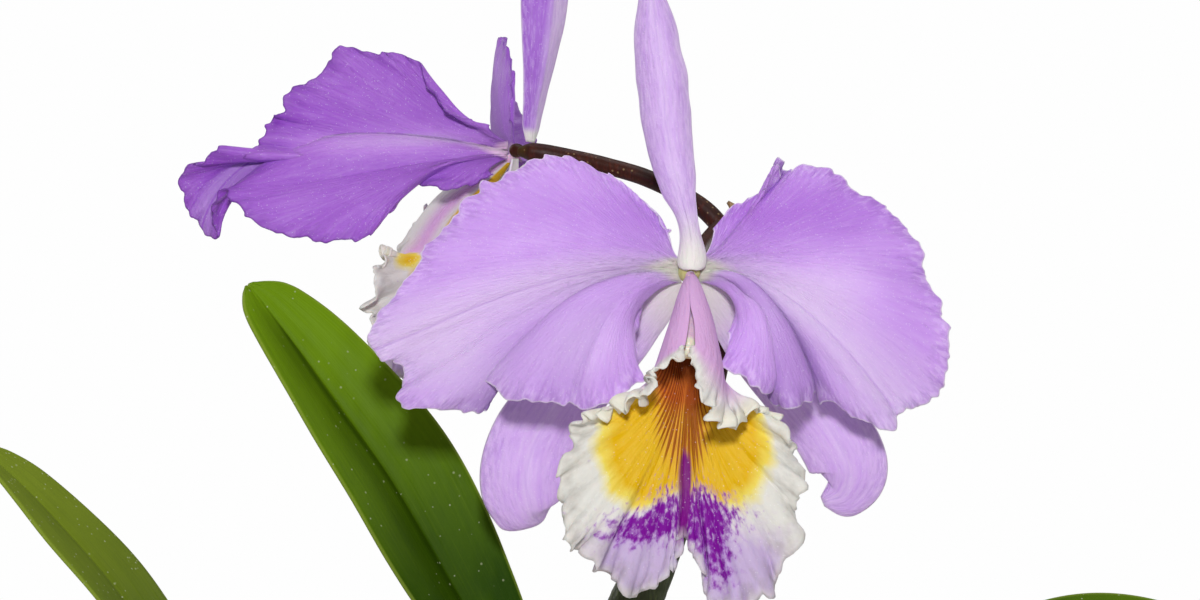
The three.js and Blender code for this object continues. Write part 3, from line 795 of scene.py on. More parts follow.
@dataclass(frozen=True)
class Finish:
    """A material: a ground colour, patterns, colour layers, roughness and relief."""

    name: str
    ground: str
    patterns: Sequence[Pattern]
    layers: Sequence[Layer]
    bumps: Sequence[tuple[str, float]]
    roughness: tuple[str, float, float]
    shader: Mapping[str, object]

    def build(self) -> Material:
        """Makes the material.

        Returns:
            The material. Names that are no pattern's are read from the piece's own masks.
        """
        material = bpy.data.materials.new(self.name)
        material.use_nodes = True
        tree = material.node_tree
        shader = tree.nodes["Principled BSDF"]
        made = self.draw_patterns(tree)
        wanted = {layer.where for layer in self.layers} - made.keys()
        for name in sorted(wanted):
            made[name] = add_node(tree, "ShaderNodeAttribute", attribute_name=name).outputs["Fac"]
        colour: object = linear(self.ground)
        for layer in self.layers:
            value, shift = made[layer.where], 0.0
            if layer.broken_by:
                mixed = {0: made[layer.broken_by], 1: layer.breaking, 2: value}
                value = add_node(tree, "ShaderNodeMath", mixed, operation="MULTIPLY_ADD")
                shift = layer.breaking / 2
            span = {0: value, 1: layer.low + shift, 2: layer.high + shift, 3: 0.0, 4: layer.strength}
            share = add_node(tree, "ShaderNodeMapRange", span)
            over = {0: share, 6: colour, 7: linear(layer.colour)}
            colour = add_node(tree, "ShaderNodeMix", over, data_type="RGBA").outputs[2]
        tree.links.new(colour, shader.inputs["Base Color"])
        pattern, low, high = self.roughness
        rough = add_node(tree, "ShaderNodeMapRange", {0: made[pattern], 1: 0.25, 2: 0.75, 3: low, 4: high})
        tree.links.new(rough.outputs[0], shader.inputs["Roughness"])
        normal: dict[str, object] = {}
        for name, reach in self.bumps:
            height = {"Height": made[name], "Distance": reach * MM}
            relief = add_node(tree, "ShaderNodeBump", {**height, **normal})
            normal = {"Normal": relief.outputs[0]}
        tree.links.new(normal["Normal"], shader.inputs["Normal"])
        for key, value in self.shader.items():
            shader.inputs[key].default_value = value
        return material

    def draw_patterns(self, tree: NodeTree) -> dict[str, NodeSocket]:
        """Adds the nodes of each pattern.

        Args:
            tree: The material's tree.

        Returns:
            Each pattern's value by name.
        """
        made: dict[str, NodeSocket] = {}
        body = add_node(tree, "ShaderNodeTexCoord").outputs["Object"]
        veins = add_node(tree, "ShaderNodeUVMap", uv_map="veins")
        for pattern in self.patterns:
            if pattern.kind is Kind.ASIDE:
                line = add_node(tree, "ShaderNodeAttribute", attribute_name=pattern.name)
                side = add_node(tree, "ShaderNodeMath", {0: line.outputs["Fac"]}, operation="ABSOLUTE")
                made[pattern.name] = side.outputs[0]
                continue
            scale = tuple(1 / (pattern.size * MM * times) for times in pattern.stretch)
            start = {"Vector": veins if pattern.on_veins else body, "Scale": scale}
            spot = add_node(tree, "ShaderNodeMapping", start)
            if pattern.kind is Kind.MOTTLE:
                look = {"Vector": spot, "Scale": 1.0, "Detail": pattern.detail, "Roughness": 0.55}
                made[pattern.name] = add_node(tree, "ShaderNodeTexNoise", look).outputs["Fac"]
            elif pattern.kind is Kind.LINES:
                look = {
                    "Vector": spot, "Scale": ONE_BAND, "Distortion": 2.0, "Detail": 1.0, "Detail Scale": 0.6,
                }
                made[pattern.name] = add_node(tree, "ShaderNodeTexWave", look).outputs["Fac"]
            else:
                cells = add_node(tree, "ShaderNodeTexVoronoi", {"Vector": spot, "Scale": 1.0})
                pick = add_node(tree, "ShaderNodeSeparateColor", {0: cells.outputs["Color"]})
                chosen = {0: pick, 1: 1 - pattern.share, 2: 1.001 - pattern.share}
                near = {0: cells.outputs["Distance"], 1: 0.5, 2: 0.25}
                taken, middle = (add_node(tree, "ShaderNodeMapRange", span) for span in (chosen, near))
                both = add_node(tree, "ShaderNodeMath", {0: taken, 1: middle}, operation="MULTIPLY")
                made[pattern.name] = both.outputs[0]
        return made


def petal_finish(name: str, ground: str, flush: str, deep: str, rim: str, claw: str,
                 band: tuple[float, float], line: float, streaks: float) -> Finish:
    """Describes a living petal or sepal.

    Satin cells over fine veins, that light passes into, with a pale midrib, a cream claw and crinkled rims,
    and painted shade in its folds and crinkles.
    Pale specks painted over the cells stand for their sparkle as painted highlights, drawn 0.4 mm wide, twice
    as coarse as real, so that they show.

    Args:
        name: The material's name.
        ground: Its lightest colour.
        flush: Its stronger colour, for its deeper tint, its veins and its painted shade.
        deep: The colour of painted shade inside its folds and in its margin's crinkles.
        rim: The colour of its very margin, also painted as highlight on the crinkles near it.
        claw: The colour of its narrow base.
        band: Millimetres from the midrib to where its pale band ends, and how pale it is.
        line: How strongly the midrib's own thin line shows.
        streaks: How strongly the veins show.

    Returns:
        The finish.
    """
    return Finish(
        name=name,
        ground=ground,
        patterns=(
            Pattern("veins", 1.3, (1, 9, 1), 3, on_veins=True),
            Pattern("crinkle", 1.2, (1, 3, 1), 3, on_veins=True),
            Pattern("clouds", 9, detail=3),
            Pattern("cells", 0.5, detail=1),
            Pattern("sparkle", 0.4, kind=Kind.SPECKS, share=0.06),
            Pattern("mid", kind=Kind.ASIDE),
        ),
        layers=(
            # Deeper tint, partly the blade's own and partly painted shade, from the piece's ground and spots.
            Layer(flush, "flush", broken_by="clouds", breaking=0.3),
            Layer(PALE_LILAC, "mid", band[0], 0.5, band[1]),
            Layer(flush, "veins", 0.5, 0.78, streaks),
            Layer(PALE_LILAC, "veins", 0.5, 0.25, 0.7 * streaks),
            # Painted light: paler lilac where the spots run below zero.
            Layer(PALE_LILAC, "flush", 0.0, -1.0, 0.9),
            # Painted shade in the crinkles' hollows near the margin, then painted highlight on their ridges.
            Layer(deep, "edge", 5, -3, 0.16, "crinkle", 40),
            Layer(rim, "edge", 3, -2, 0.18, "crinkle", -40),
            Layer(flush, "mid", 0.5, 0.15, line),
            # Painted shade inside the folds.
            Layer(deep, "tuck", strength=0.75),
            Layer(claw, "claw"),
            Layer(rim, "edge", 0.6, 0.1, 0.6, "clouds", 0.4),
            # Painted glints: pale specks for the cells' sparkle.
            Layer("f9f2ff", "sparkle", strength=0.3),
        ),
        bumps=(("veins", 0.15), ("crinkle", 0.3), ("cells", 0.09)),
        roughness=("clouds", 0.42, 0.55),
        shader={
            "Subsurface Weight": 0.25, "Subsurface Scale": 0.001, "Subsurface Radius": (1.0, 0.5, 0.9),
            "Specular IOR Level": 0.35, "Sheen Weight": 0.1, "Sheen Roughness": 0.4,
        },
    )


# A lip's painted frill: white ruffles with painted grey shade in their crinkles and a painted highlight along
# the margin, a yellow disc with orange veins, a brown throat, purple splashes, and painted glints.
LIP_FINISH = Finish(
    name="Lip, painted frill",
    ground="e2e0da",
    patterns=(
        Pattern("veins", 1.6, (1, 14, 1), 2, on_veins=True),
        Pattern("lines", 4.2, (1, 3, 1), on_veins=True, kind=Kind.LINES),
        Pattern("blots", 1.5, (1, 2.2, 1), 4, on_veins=True),
        Pattern("freckle", 1.4, (1, 1.9, 1), 5, on_veins=True),
        Pattern("broad", 6, (1, 1.6, 1), 3, on_veins=True),
        Pattern("crinkle", 1.7, (1, 3, 1), 3, on_veins=True),
        Pattern("cells", 0.8),
        Pattern("sparkle", 0.5, kind=Kind.SPECKS, share=0.04),
    ),
    layers=(
        Layer("c6addb", "wash", 0.1, 0.9, 0.85, "blots", 0.7),
        # Painted shade: grey in the frill's crinkles near the margin.
        Layer("9c968e", "edge", 9, -4, 0.4, "crinkle", 40),
        Layer("dbaade", "tube", strength=0.95),
        Layer("e0b42c", "keel", 0.25, 0.85),
        Layer("e6e2c6", "cream", 0.3, 1.0, 0.7, "blots", 0.4),
        Layer("efdf68", "gold", 0.27, 0.5, 1.0, "broad", 0.4),
        Layer("e2b400", "gold", 0.4, 0.8, 1.0, "broad", 0.6),
        Layer("f0cc50", "gold", 0.75, 1.0, 0.3, "veins", 1.6),
        Layer("e09a3a", "rays", 0.35, 1.0, 0.7, "blots", 0.3),
        Layer("d06e24", "throat", 0.3, 0.8, 0.95, "blots", 0.3),
        Layer("8f3a10", "rays", 0.7, 1.0, 0.8, "lines", 0.9),
        Layer("5e1e08", "deep", 0.35, 1.0, 0.65, "lines", 0.4),
        Layer("ab69cc", "stain", 0.22, 0.66, 0.85, "freckle", 1.6),
        Layer("80109a", "stain", 0.4, 0.74, 1.0, "freckle", 1.7),
        Layer("7d0484", "stripe", 0.2, 0.5, 0.95, "veins", 0.8),
        # Painted highlight: whiter along the frill's very margin.
        Layer("f6f3ec", "edge", 3.5, 0.3, 0.45),
        # Painted glints: pale specks for the cells' sparkle.
        Layer("fdfaff", "sparkle", strength=0.25),
    ),
    bumps=(("veins", 0.14), ("crinkle", 0.4), ("cells", 0.1)),
    roughness=("blots", 0.45, 0.55),
    shader={
        "Subsurface Weight": 0.25, "Subsurface Scale": 0.001, "Subsurface Radius": (1.0, 0.7, 0.6),
        "Specular IOR Level": 0.12,
    },
)

# A column's waxy flesh, pinkish with mauve streaks, and the cream cap at its tip.
COLUMN_FINISH = Finish(
    name="Column, waxy flesh",
    ground="e6c3df",
    patterns=(Pattern("streaks", 1.2, (1, 1, 3)),),
    layers=(Layer("c58bc9", "streaks", 0.5, 0.75, 0.6), Layer("f4efdc", "cap")),
    bumps=(("streaks", 0.08),),
    roughness=("streaks", 0.3, 0.4),
    shader={"Subsurface Weight": 0.3, "Subsurface Scale": 0.0012},
)

# The swollen cup that the bloom's parts grow from: waxy, greenish yellow flesh.
CUP_FINISH = replace(COLUMN_FINISH, name="Receptacle, waxy flesh", ground="cfc98a",
                     layers=(Layer("9c9a48", "streaks", 0.4, 0.8, 0.8),))

# Flower stem: smooth, glossy skin, brown over green with fine pale dots.
STEM_FINISH = Finish(
    name="Flower stem, glossy skin",
    ground="3a1608",
    patterns=(
        Pattern("patches", 7, detail=3),
        Pattern("streaks", 0.9, (1, 1, 5)),
        Pattern("dots", 0.8, kind=Kind.SPECKS),
    ),
    layers=(
        Layer("5c2412", "streaks", 0.48, 0.7, 0.6),
        Layer("260e08", "patches", 0.5, 0.7, 0.6),
        Layer("6d7a2a", "green", 0.1, 0.8, 1.0, "patches", 0.4),
        Layer("a98f62", "dots", strength=0.5),
    ),
    bumps=(("streaks", 0.08), ("patches", 0.12)),
    roughness=("patches", 0.34, 0.48),
    shader={"Specular IOR Level": 0.3},
)


def leaf_finish(name: str, upper: str, lower: str, dust: float) -> Finish:
    """Describes a leathery leaf: waxy green, with fine lengthwise fibres, a sunk midrib with painted shade
    along it and over one half, and dusty specks.

    Args:
        name: The material's name.
        upper: Its colour near the tip.
        lower: Its colour near the base.
        dust: The share of specks that show.

    Returns:
        The finish.
    """
    return Finish(
        name=name,
        ground=lower,
        patterns=(
            Pattern("fibres", 0.8, (1, 40, 1), 3, on_veins=True),
            Pattern("clouds", 16, (1, 1, 2), 3),
            Pattern("specks", 0.9, kind=Kind.SPECKS, share=dust),
            Pattern("dust", 0.7, kind=Kind.SPECKS, share=dust),
        ),
        layers=(
            Layer(upper, "height", broken_by="clouds", breaking=0.5),
            Layer("2c4a06", "fibres", 0.5, 0.75, 0.16),
            Layer("7f9c22", "fibres", 0.45, 0.25, 0.1),
            # Painted shade along the sunk midrib and over one half of the blade.
            Layer("1f3400", "valley", strength=0.85),
            Layer("8f7433", "worn", 0.3, 0.8, 1.0, "clouds", 0.8),
            Layer("8fa23c", "edge", 0.9, 0.2, 0.5),
            Layer("c9cfa8", "specks", strength=0.35),
            Layer("d8dcc0", "dust", strength=0.4),
        ),
        bumps=(("fibres", 0.1), ("clouds", 0.5)),
        roughness=("clouds", 0.42, 0.56),
        shader={"Specular IOR Level": 0.06},
    )


# Pseudobulb: smooth green skin, yellower low down, furrowed, with painted shade in the furrows, and marked by
# age.
BULB_FINISH = Finish(
    name="Pseudobulb, ribbed skin",
    ground="8c9646",
    patterns=(
        Pattern("clouds", 12, (1, 1, 2), 4),
        Pattern("streaks", 1.4, (1, 1, 22), 3),
        Pattern("blotches", 4, detail=4),
        Pattern("dots", 1.1, kind=Kind.SPECKS),
    ),
    layers=(
        Layer("56752a", "height", broken_by="clouds", breaking=0.6),
        # Painted shade in the furrows.
        Layer("3f5620", "furrow", strength=0.55),
        Layer("a8a765", "streaks", 0.55, 0.8, 0.5),
        Layer("5d4a22", "blotches", 0.62, 0.7, 0.5),
        Layer("d0cda6", "dots", strength=0.5),
    ),
    bumps=(("streaks", 0.25), ("clouds", 0.4)),
    roughness=("clouds", 0.36, 0.5),
    shader={"Coat Weight": 0.1},
)


def paper_finish(name: str, ground: str, dark: str, light: str, roughness: tuple[float, float]) -> Finish:
    """Describes sheath tissue: raised lengthwise fibres, from fresh and leathery to dry and papery.

    Args:
        name: The material's name.
        ground: Its main colour.
        dark: The colour of its blotches and margins.
        light: The colour of its fibres.
        roughness: Its lowest and highest roughness.

    Returns:
        The finish.
    """
    return Finish(
        name=name,
        ground=ground,
        patterns=(Pattern("fibres", 0.7, (1, 1, 26), 3), Pattern("clouds", 8, detail=4)),
        layers=(
            Layer(light, "fibres", 0.5, 0.72, 0.7),
            Layer(dark, "clouds", 0.5, 0.72, 0.6),
            Layer(dark, "torn", strength=0.7),
        ),
        bumps=(("fibres", 0.3), ("clouds", 0.3)),
        roughness=("clouds", *roughness),
        shader={"Subsurface Weight": 0.05, "Subsurface Scale": 0.0008},
    )


# Rhizome: woody brown skin with green patches.
RHIZOME_FINISH = Finish(
    name="Rhizome, woody skin",
    ground="7a6238",
    patterns=(Pattern("grain", 2.4, detail=4), Pattern("clouds", 9)),
    layers=(Layer("4b3820", "grain", 0.45, 0.65, 0.8), Layer("7f8a4a", "clouds", 0.5, 0.7, 0.5)),
    bumps=(("grain", 0.6),),
    roughness=("grain", 0.65, 0.85),
    shader={},
)

# Aerial root: chalky silver velamen, stained in places, with a green tip.
ROOT_FINISH = Finish(
    name="Aerial root, chalky velamen",
    ground="cfccbd",
    patterns=(Pattern("chalk", 1.6, detail=4), Pattern("clouds", 7, detail=3)),
    layers=(
        Layer("9fa08a", "chalk", 0.48, 0.7, 0.7),
        Layer("7c6a4c", "clouds", 0.55, 0.72, 0.7),
        Layer("6f8f3a", "green"),
    ),
    bumps=(("chalk", 0.4),),
    roughness=("chalk", 0.8, 0.9),
    shader={},
)

# Broken fir bark: rust brown inside, grey on its weathered faces, with a coarse grain.
BARK_FINISH = Finish(
    name="Fir bark, broken",
    ground="6a4126",
    patterns=(
        Pattern("grain", 1.6, (1, 5, 1), 4),
        Pattern("faces", 13),
        Pattern("weather", 24, detail=3),
    ),
    layers=(
        Layer("3a2114", "grain", 0.46, 0.66, 0.85),
        Layer("9a6a45", "faces", 0.5, 0.68, 0.7),
        Layer("85796a", "weather", 0.54, 0.7, 0.6),
    ),
    bumps=(("grain", 1.0),),
    roughness=("grain", 0.85, 0.98),
    shader={},
)

# Terracotta: matt fired clay with fine grit, a pale lime bloom and damp low down.
TERRACOTTA_FINISH = Finish(
    name="Terracotta, fired clay",
    ground="b9683f",
    patterns=(
        Pattern("clouds", 26, (1, 1, 0.6), 4),
        Pattern("grit", 0.9, detail=3),
        Pattern("crust", 11, detail=5),
        Pattern("pits", 1.6, kind=Kind.SPECKS, share=0.03),
    ),
    layers=(
        Layer("9c5130", "clouds", 0.42, 0.7, 0.7),
        Layer("cf8257", "grit", 0.6, 0.75, 0.6),
        Layer("7f4229", "damp", strength=0.55),
        Layer("e2cdb8", "lime", 0.35, 0.9, 0.6, "crust", 2.0),
        Layer("6b3a26", "pits", strength=0.6),
    ),
    bumps=(("grit", 0.25), ("clouds", 0.4)),
    roughness=("clouds", 0.82, 0.92),
    shader={},
)


# ---- blooms


@dataclass(frozen=True)
class Stand:
    """Where a part of a bloom stands: a place, turns about x, y and z in degrees, and a size."""

    place: Point
    turn: Point = (0.0, 0.0, 0.0)
    size: float = 1.0

    def put(self, points: Array) -> Array:
        """Takes points from the part's own frame into the plant's.

        Args:
            points: Points in the part's frame.

        Returns:
            The same points in the plant's frame.
        """
        x, y, z = (math.radians(angle) for angle in self.turn)
        about_x = np.array([[1, 0, 0], [0, math.cos(x), -math.sin(x)], [0, math.sin(x), math.cos(x)]])
        about_y = np.array([[math.cos(y), 0, math.sin(y)], [0, 1, 0], [-math.sin(y), 0, math.cos(y)]])
        about_z = np.array([[math.cos(z), -math.sin(z), 0], [math.sin(z), math.cos(z), 0], [0, 0, 1]])
        return self.size * points @ (about_z @ about_y @ about_x).T + np.array(self.place)


def moved(mesh: Mesh, stand: Stand) -> Mesh:
    """Puts a mesh where a stand says.

    Args:
        mesh: The mesh.
        stand: Where it stands.

    Returns:
        The same mesh.
    """
    mesh.vertices.foreach_set("co", (stand.put(places_of(mesh)) * MM).ravel())
    mesh.update()
    return mesh


def spindle(name: str, path: Sequence[Point], radius: Pairs, sides: int, steps: int,
            finish: Material, shape: Rule | None = None, up: Point = (1, 0, 0),
            masks: Mapping[str, Rule] | None = None) -> Mesh:
    """Makes a closed round body along a path.

    Args:
        name: The mesh's name.
        path: Points of its middle line.
        radius: Its radius along the path.
        sides: Points round it.
        steps: Rings along it.
        finish: The material.
        shape: Scales the radius by angle and share.
        up: The direction that its angles start from.
        masks: Values for the finish, by angle and share.

    Returns:
        The mesh.
    """
    line = Path(path)
    share = 0.5 - 0.5 * np.cos(np.pi * np.linspace(0, 1, steps + 1))
    angle, t = ring_angles(sides), share[:, None]
    tangent = line.tangent(share)
    side = unit(np.cross(tangent, np.array(up, float)))[:, None]
    front = np.cross(side, tangent[:, None])
    reach = profile(radius)(share)[:, None] * (shape(angle, t) if shape else 1.0)
    reach = (reach * np.ones_like(angle))[..., None]
    rings = line.at(share)[:, None] + reach * around(side, front, angle)
    number, after = numbered(steps + 1, sides)
    faces = tube_faces(number, after).tolist()
    start, end = number.size, number.size + 1
    faces += [[start, after[0, k], number[0, k]] for k in range(sides)]
    faces += [[end, number[-1, k], after[-1, k]] for k in range(sides)]
    points = np.concatenate([rings.reshape(-1, 3), line.at(np.array([0.0, 1.0]))])
    mesh = make_mesh(name, points, faces)
    for key, rule in (masks or {}).items():
        values = np.broadcast_to(rule(angle, t), number.shape)
        paint_masks(mesh, {key: np.concatenate([values.ravel(), [values[0].mean(), values[-1].mean()]])})
    mesh.materials.append(finish)
    return mesh


@dataclass(frozen=True)
class Spot:
    """A soft patch of colour, in the upright plane that a bloom faces."""

    x: float
    z: float
    wide: float
    high: float
    strength: float = 1.0

    def at(self, points: Array) -> Array:
        """Gives the patch's strength at points."""
        aside, above = (points[..., 0] - self.x) / self.wide, (points[..., 2] - self.z) / self.high
        return self.strength * np.exp(-(aside**2) - above**2)


@dataclass(frozen=True)
class Fold:
    """A pleat along a petal's veins: the blade on one side of a vein stands in front of the other.

    Places, widths and starts are shares of the margin or of the way to it. The step laps over its first
    stretch.
    """

    where: float
    height: float
    start: float = 0.2
    wide: float = 0.05
    lap: float = 0.8

    def shape(self, u: Array, v: Array) -> Array:
        """Gives the fold's height.

        Args:
            u: Shares round the margin.
            v: Shares of the way to it.

        Returns:
            Up to 1 in front of the vein and down to -0.5 behind it.
        """
        step = (u - self.where) / self.wide
        ridge = np.where(step > 0, np.exp(-np.abs(step)), -0.5 * np.exp(-np.abs(step) * 0.8))
        return rise(np.abs(step), 0, 0.16) * ridge * rise(v, self.start, 0.8)

    def shade(self, u: Array, v: Array) -> Array:
        """Gives how strongly painted shade lies on each point inside the fold.

        Args:
            u: Shares round the margin.
            v: Shares of the way to it.

        Returns:
            A value from 0 to 1.
        """
        step = (u - self.where) / self.wide
        behind = np.exp(-1.45 * np.maximum(0, -step - self.lap))
        inside = np.where(step > 0, np.exp(-5 * np.abs(step)), behind)
        return inside * rise(v, self.start, self.start + 0.35)


@dataclass
class Petal:
    """A broad petal: a satin blade with a pale midrib, folds, and a crumpled and toothed margin.

    Each of its waves has a height, a length, a count along a vein, and the shares of the length
    where it starts and where it is full.
    """

    node: str
    fan: Fan
    stand: Stand
    finish: Material
    seed: int
    midrib_at: float
    columns: int = 680
    rows: int = 44
    folds: Sequence[Fold] = ()
    tint_and_shade_spots: Sequence[Spot] = ()
    ground: float = 0.25
    thickness: float = 0.8
    spread: float = 300.0
    waves: Sequence[Sequence[float]] = (
        (0.9, 14, 4, 0.25, 0.95), (0.8, 6, 4, 0.6, 1), (0.55, 2.6, 5, 0.8, 1),
    )

    def crumple(self) -> Sheet:
        """Makes the blade with its waves, folds and teeth.

        Returns:
            The finished sheet.
        """
        sheet = Sheet(self.fan, self.columns, self.rows, self.thickness, crowd=1.35)
        u, v = sheet.grid()
        s = sheet.rim_length()
        height = np.zeros_like(v)
        for k, (size, long, count, low, high) in enumerate(self.waves):
            height = height + size * drift(self.seed + k, s / long, count * v) * rise(v, low, high)
        height = height - 0.3 * bump(self.aside(sheet), 0, 1.1) * rise(v, 0.02, 0.2)
        for fold in self.folds:
            height = height + fold.height * fold.shape(u, v)
        towards = -np.sign(np.mean(sheet.normal[..., 1]))
        sheet.lift(towards * height)
        teeth = 0.8 * drift(self.seed + 3, s / 1.7) + 0.8 * drift(self.seed + 4, s / 4.1)
        rim = rise(v, 0.93, 1)
        sheet.lift(drift(self.seed + 5, s / 3.1) * rim, teeth * rim)
        return sheet

    def aside(self, sheet: Sheet) -> Array:
        """Measures the distance of each point from the midrib, in millimetres."""
        middle = np.argmin(np.abs(sheet.u - self.midrib_at))
        return sheet.width - sheet.width[middle : middle + 1]

    def build(self) -> None:
        """Makes the petal and puts it in its place."""
        sheet = self.crumple()
        u, v = sheet.grid()
        # Deeper tint and painted shade from the ground and spots; spots below zero paint light.
        flush = sum((spot.at(sheet.points) for spot in self.tint_and_shade_spots), self.ground)
        # Painted shade along the low side of each fold.
        shade_in_folds = sum(min(1.0, fold.height / 2.5) * fold.shade(u, v) for fold in self.folds)
        masks = {
            "mid": self.aside(sheet) * (1.5 - 0.8 * v),
            "flush": np.clip(flush, -1, 1),
            "tuck": np.clip(shade_in_folds, 0, 1),
            "claw": rise(-sheet.length - 1.6 * np.abs(self.aside(sheet)), -15, -5),
        }
        mesh = sheet.body(self.node + "_crumpled", masks, self.spread, self.finish)
        place(moved(mesh, self.stand), self.node, Slot.PETAL)


@dataclass
class Sepal:
    """A sepal: a smooth, strap-shaped blade with parallel veins."""

    node: str
    strap: Strap
    stand: Stand
    finish: Material
    seed: int
    columns: int = 40
    rows: int = 120
    claw: float = 12.0
    ground: float = 0.2
    # How far one half of the blade is painted in shade, and the other paler.
    side_shade: float = 0.0
    thickness: float = 0.9
    spread: float = 26.0

    def build(self) -> None:
        """Makes the sepal and puts it in its place."""
        sheet = Sheet(self.strap, self.columns, self.rows, self.thickness)
        u, v = sheet.grid()
        height = 0.35 * drift(self.seed, sheet.length / 11, 3 * u) * rise(v, 0.15, 0.5)
        height = height + 0.35 * drift(self.seed + 1, sheet.length / 6, u) * np.abs(2 * u - 1) ** 3
        height = height - 0.3 * bump(u, 0.5, 0.05) * rise(v, 0.05, 0.2)
        sheet.lift(height * (1 - rise(v, 0.93, 1)))
        middle = self.columns // 2
        masks = {
            "mid": sheet.width - sheet.width[middle : middle + 1],
            "tuck": 0 * v,
            # Tint, with painted shade over one half of the blade.
            "flush": np.clip(self.ground + self.side_shade * (1 - 2 * rise(u, 0.4, 0.6)) + 0.15 * v, 0, 1),
            "claw": rise(-sheet.length, -self.claw, -2),
        }
        mesh = sheet.body(self.node + "_veined", masks, self.spread, self.finish)
        place(moved(mesh, self.stand), self.node, Slot.SEPAL)


# Where a lip's colours lie on its front lobe.
LIP_SPOTS = {
    "gold": (Spot(-11.5, -49, 12.8, 15.5, 1.4), Spot(7.5, -49, 12.3, 16, 1.4), Spot(-2.5, -44, 8, 12, 1.1)),
    "throat": (Spot(-2, -30, 10, 9.5, 1.4),),
    "deep": (Spot(-2, -24, 10, 8, 1.5),),
    "rays": (Spot(-2.2, -40, 7.5, 16, 1.4),),
    "stain": (
        Spot(-6.5, -66, 5.5, 7, 0.5), Spot(-13, -71, 8, 5, 0.55), Spot(-21, -72, 7, 4.5, 0.3),
        Spot(2, -65, 4.5, 8, 0.5), Spot(5, -74, 5.5, 8, 0.55), Spot(10, -67, 7, 6, 0.35),
        Spot(8.5, -83, 4.5, 6, 0.4),
    ),
    "wash": (Spot(-15, -80, 13, 9, 1.4), Spot(13, -83, 14, 11, 1.4)),
    "cream": (Spot(-20, -40, 14, 6), Spot(15, -41, 13, 6)),
}


@dataclass
class LipPiece:
    """A lip: a rolled pale tube that opens into a frilled, painted front lobe."""

    node: str
    form: Lip
    pattern: Lip
    stand: Stand
    finish: Material
    seed: int
    columns: int = 500
    rows: int = 62
    side_on: bool = False
    thickness: float = 0.7
    spread: float = 190.0

    def ruffle(self) -> Sheet:
        """Makes the blade with its frills and ribs.

        Returns:
            The finished sheet.
        """
        sheet = Sheet(self.form, self.columns, self.rows, self.thickness, fade=1.0)
        u, v = sheet.grid()
        s = sheet.rim_length()
        t = self.form.opened(v)
        reach = np.minimum(1, (sheet.length[:, -1:] - sheet.length[:, :1]) / 30)
        shoulders = bump(np.abs(2 * u - 1), 0.73, 0.1)
        size = 0.7 + 0.3 * drift(self.seed + 6, s / 21)
        folds = 2.5 * size * drift(self.seed, s / 4.4, 1.5 * t) * rise(t, 0.4, 1)
        pleats = np.sin(2 * np.pi * s / 6.5 + 2 * drift(self.seed + 7, s / 9))
        folds = folds + 3.2 * shoulders * pleats * rise(t, 0.55, 1)
        folds = folds + 1.1 * drift(self.seed + 1, s / 2.2, 2 * t) * rise(t, 0.74, 1)
        ribs = 0.05 * np.sin(2 * np.pi * 46 * u + 2 * drift(self.seed + 2, 9 * u)) * rise(t, 0.02, 0.2)
        sheet.lift((folds + ribs * (1 - rise(t, 0.5, 0.85))) * reach)
        teeth = 0.9 * drift(self.seed + 3, s / 1.6) + 1.2 * drift(self.seed + 4, s / 4.0)
        curl = 1.4 * drift(self.seed + 5, s / 3.2) * rise(t, 0.86, 1)
        sheet.lift(curl, teeth * rise(t, 0.82, 1))
        return sheet

    def masks(self, sheet: Sheet) -> dict[str, Array]:
        """Works out where the lip's colours lie, in the plane that a level lip faces.

        Args:
            sheet: The finished sheet.

        Returns:
            The masks by name.
        """
        flat = self.pattern.at(sheet.u, sheet.v)
        x, z, far = flat[..., 0], flat[..., 2], sheet.far
        u, t = sheet.u[:, None], self.form.opened(sheet.v[None, :])
        back, front = np.array([1.0, 0.0])[:, None, None], np.array([0.0, 1.0])[:, None, None]
        spots = {name: [spot.at(flat) for spot in group] for name, group in LIP_SPOTS.items()}
        gold = np.max(spots.pop("gold"), axis=0) * rise(far, 3.5, 8)
        stain = sum(spots.pop("stain"))
        throat, deep, rays, wash, cream = (np.clip(sum(group), 0, 1) for group in spots.values())
        stripe = bump(x, -2.0 + 0.05 * (z + 60), 1.4) * rise(-z, 46, 58) * (1 - rise(-z, 72, 79))
        outer = back * (1 - 0.95 * rise(t, 0.25, 0.8)) * rise(far, 0, 3)
        keel = back * bump(u, 0.5, 0.07) * (1 - rise(t, 0.5, 0.9))
        gilt = front * np.clip(gold, 0, 1)
        if self.side_on:
            outer = outer * bump(u, 0.855, 0.04)
            keel = back * rise(u, 0.4, 0.5) * (1 - rise(u, 0.76, 0.82)) * (1 - rise(t, 0.2, 0.6))
            gilt = 0.75 * gilt + 0.7 * back * bump(u, 0.82, 0.05) * bump(t, 0.45, 0.3)
        return {
            "tube": outer,
            "keel": keel,
            "gold": gilt * (1 - 0.85 * np.clip(stain * 1.5 - 0.35, 0, 1)),
            "throat": front * throat * rise(far, 2, 5),
            "deep": front * deep * rise(far, 2, 4),
            "rays": front * rays * rise(far, 3, 7),
            "stain": front * np.clip(1.15 * stain, 0, 0.74) * rise(t, 0.2, 0.5),
            "wash": wash,
            "cream": cream * rise(-far, -9, -2),
            "stripe": front * stripe,
            "edge": far,
        }

    def build(self) -> None:
        """Makes the lip and puts it in its place."""
        sheet = self.ruffle()
        mesh = sheet.body(self.node + "_frilled", self.masks(sheet), self.spread, self.finish)
        place(moved(mesh, self.stand), self.node, Slot.LIP)


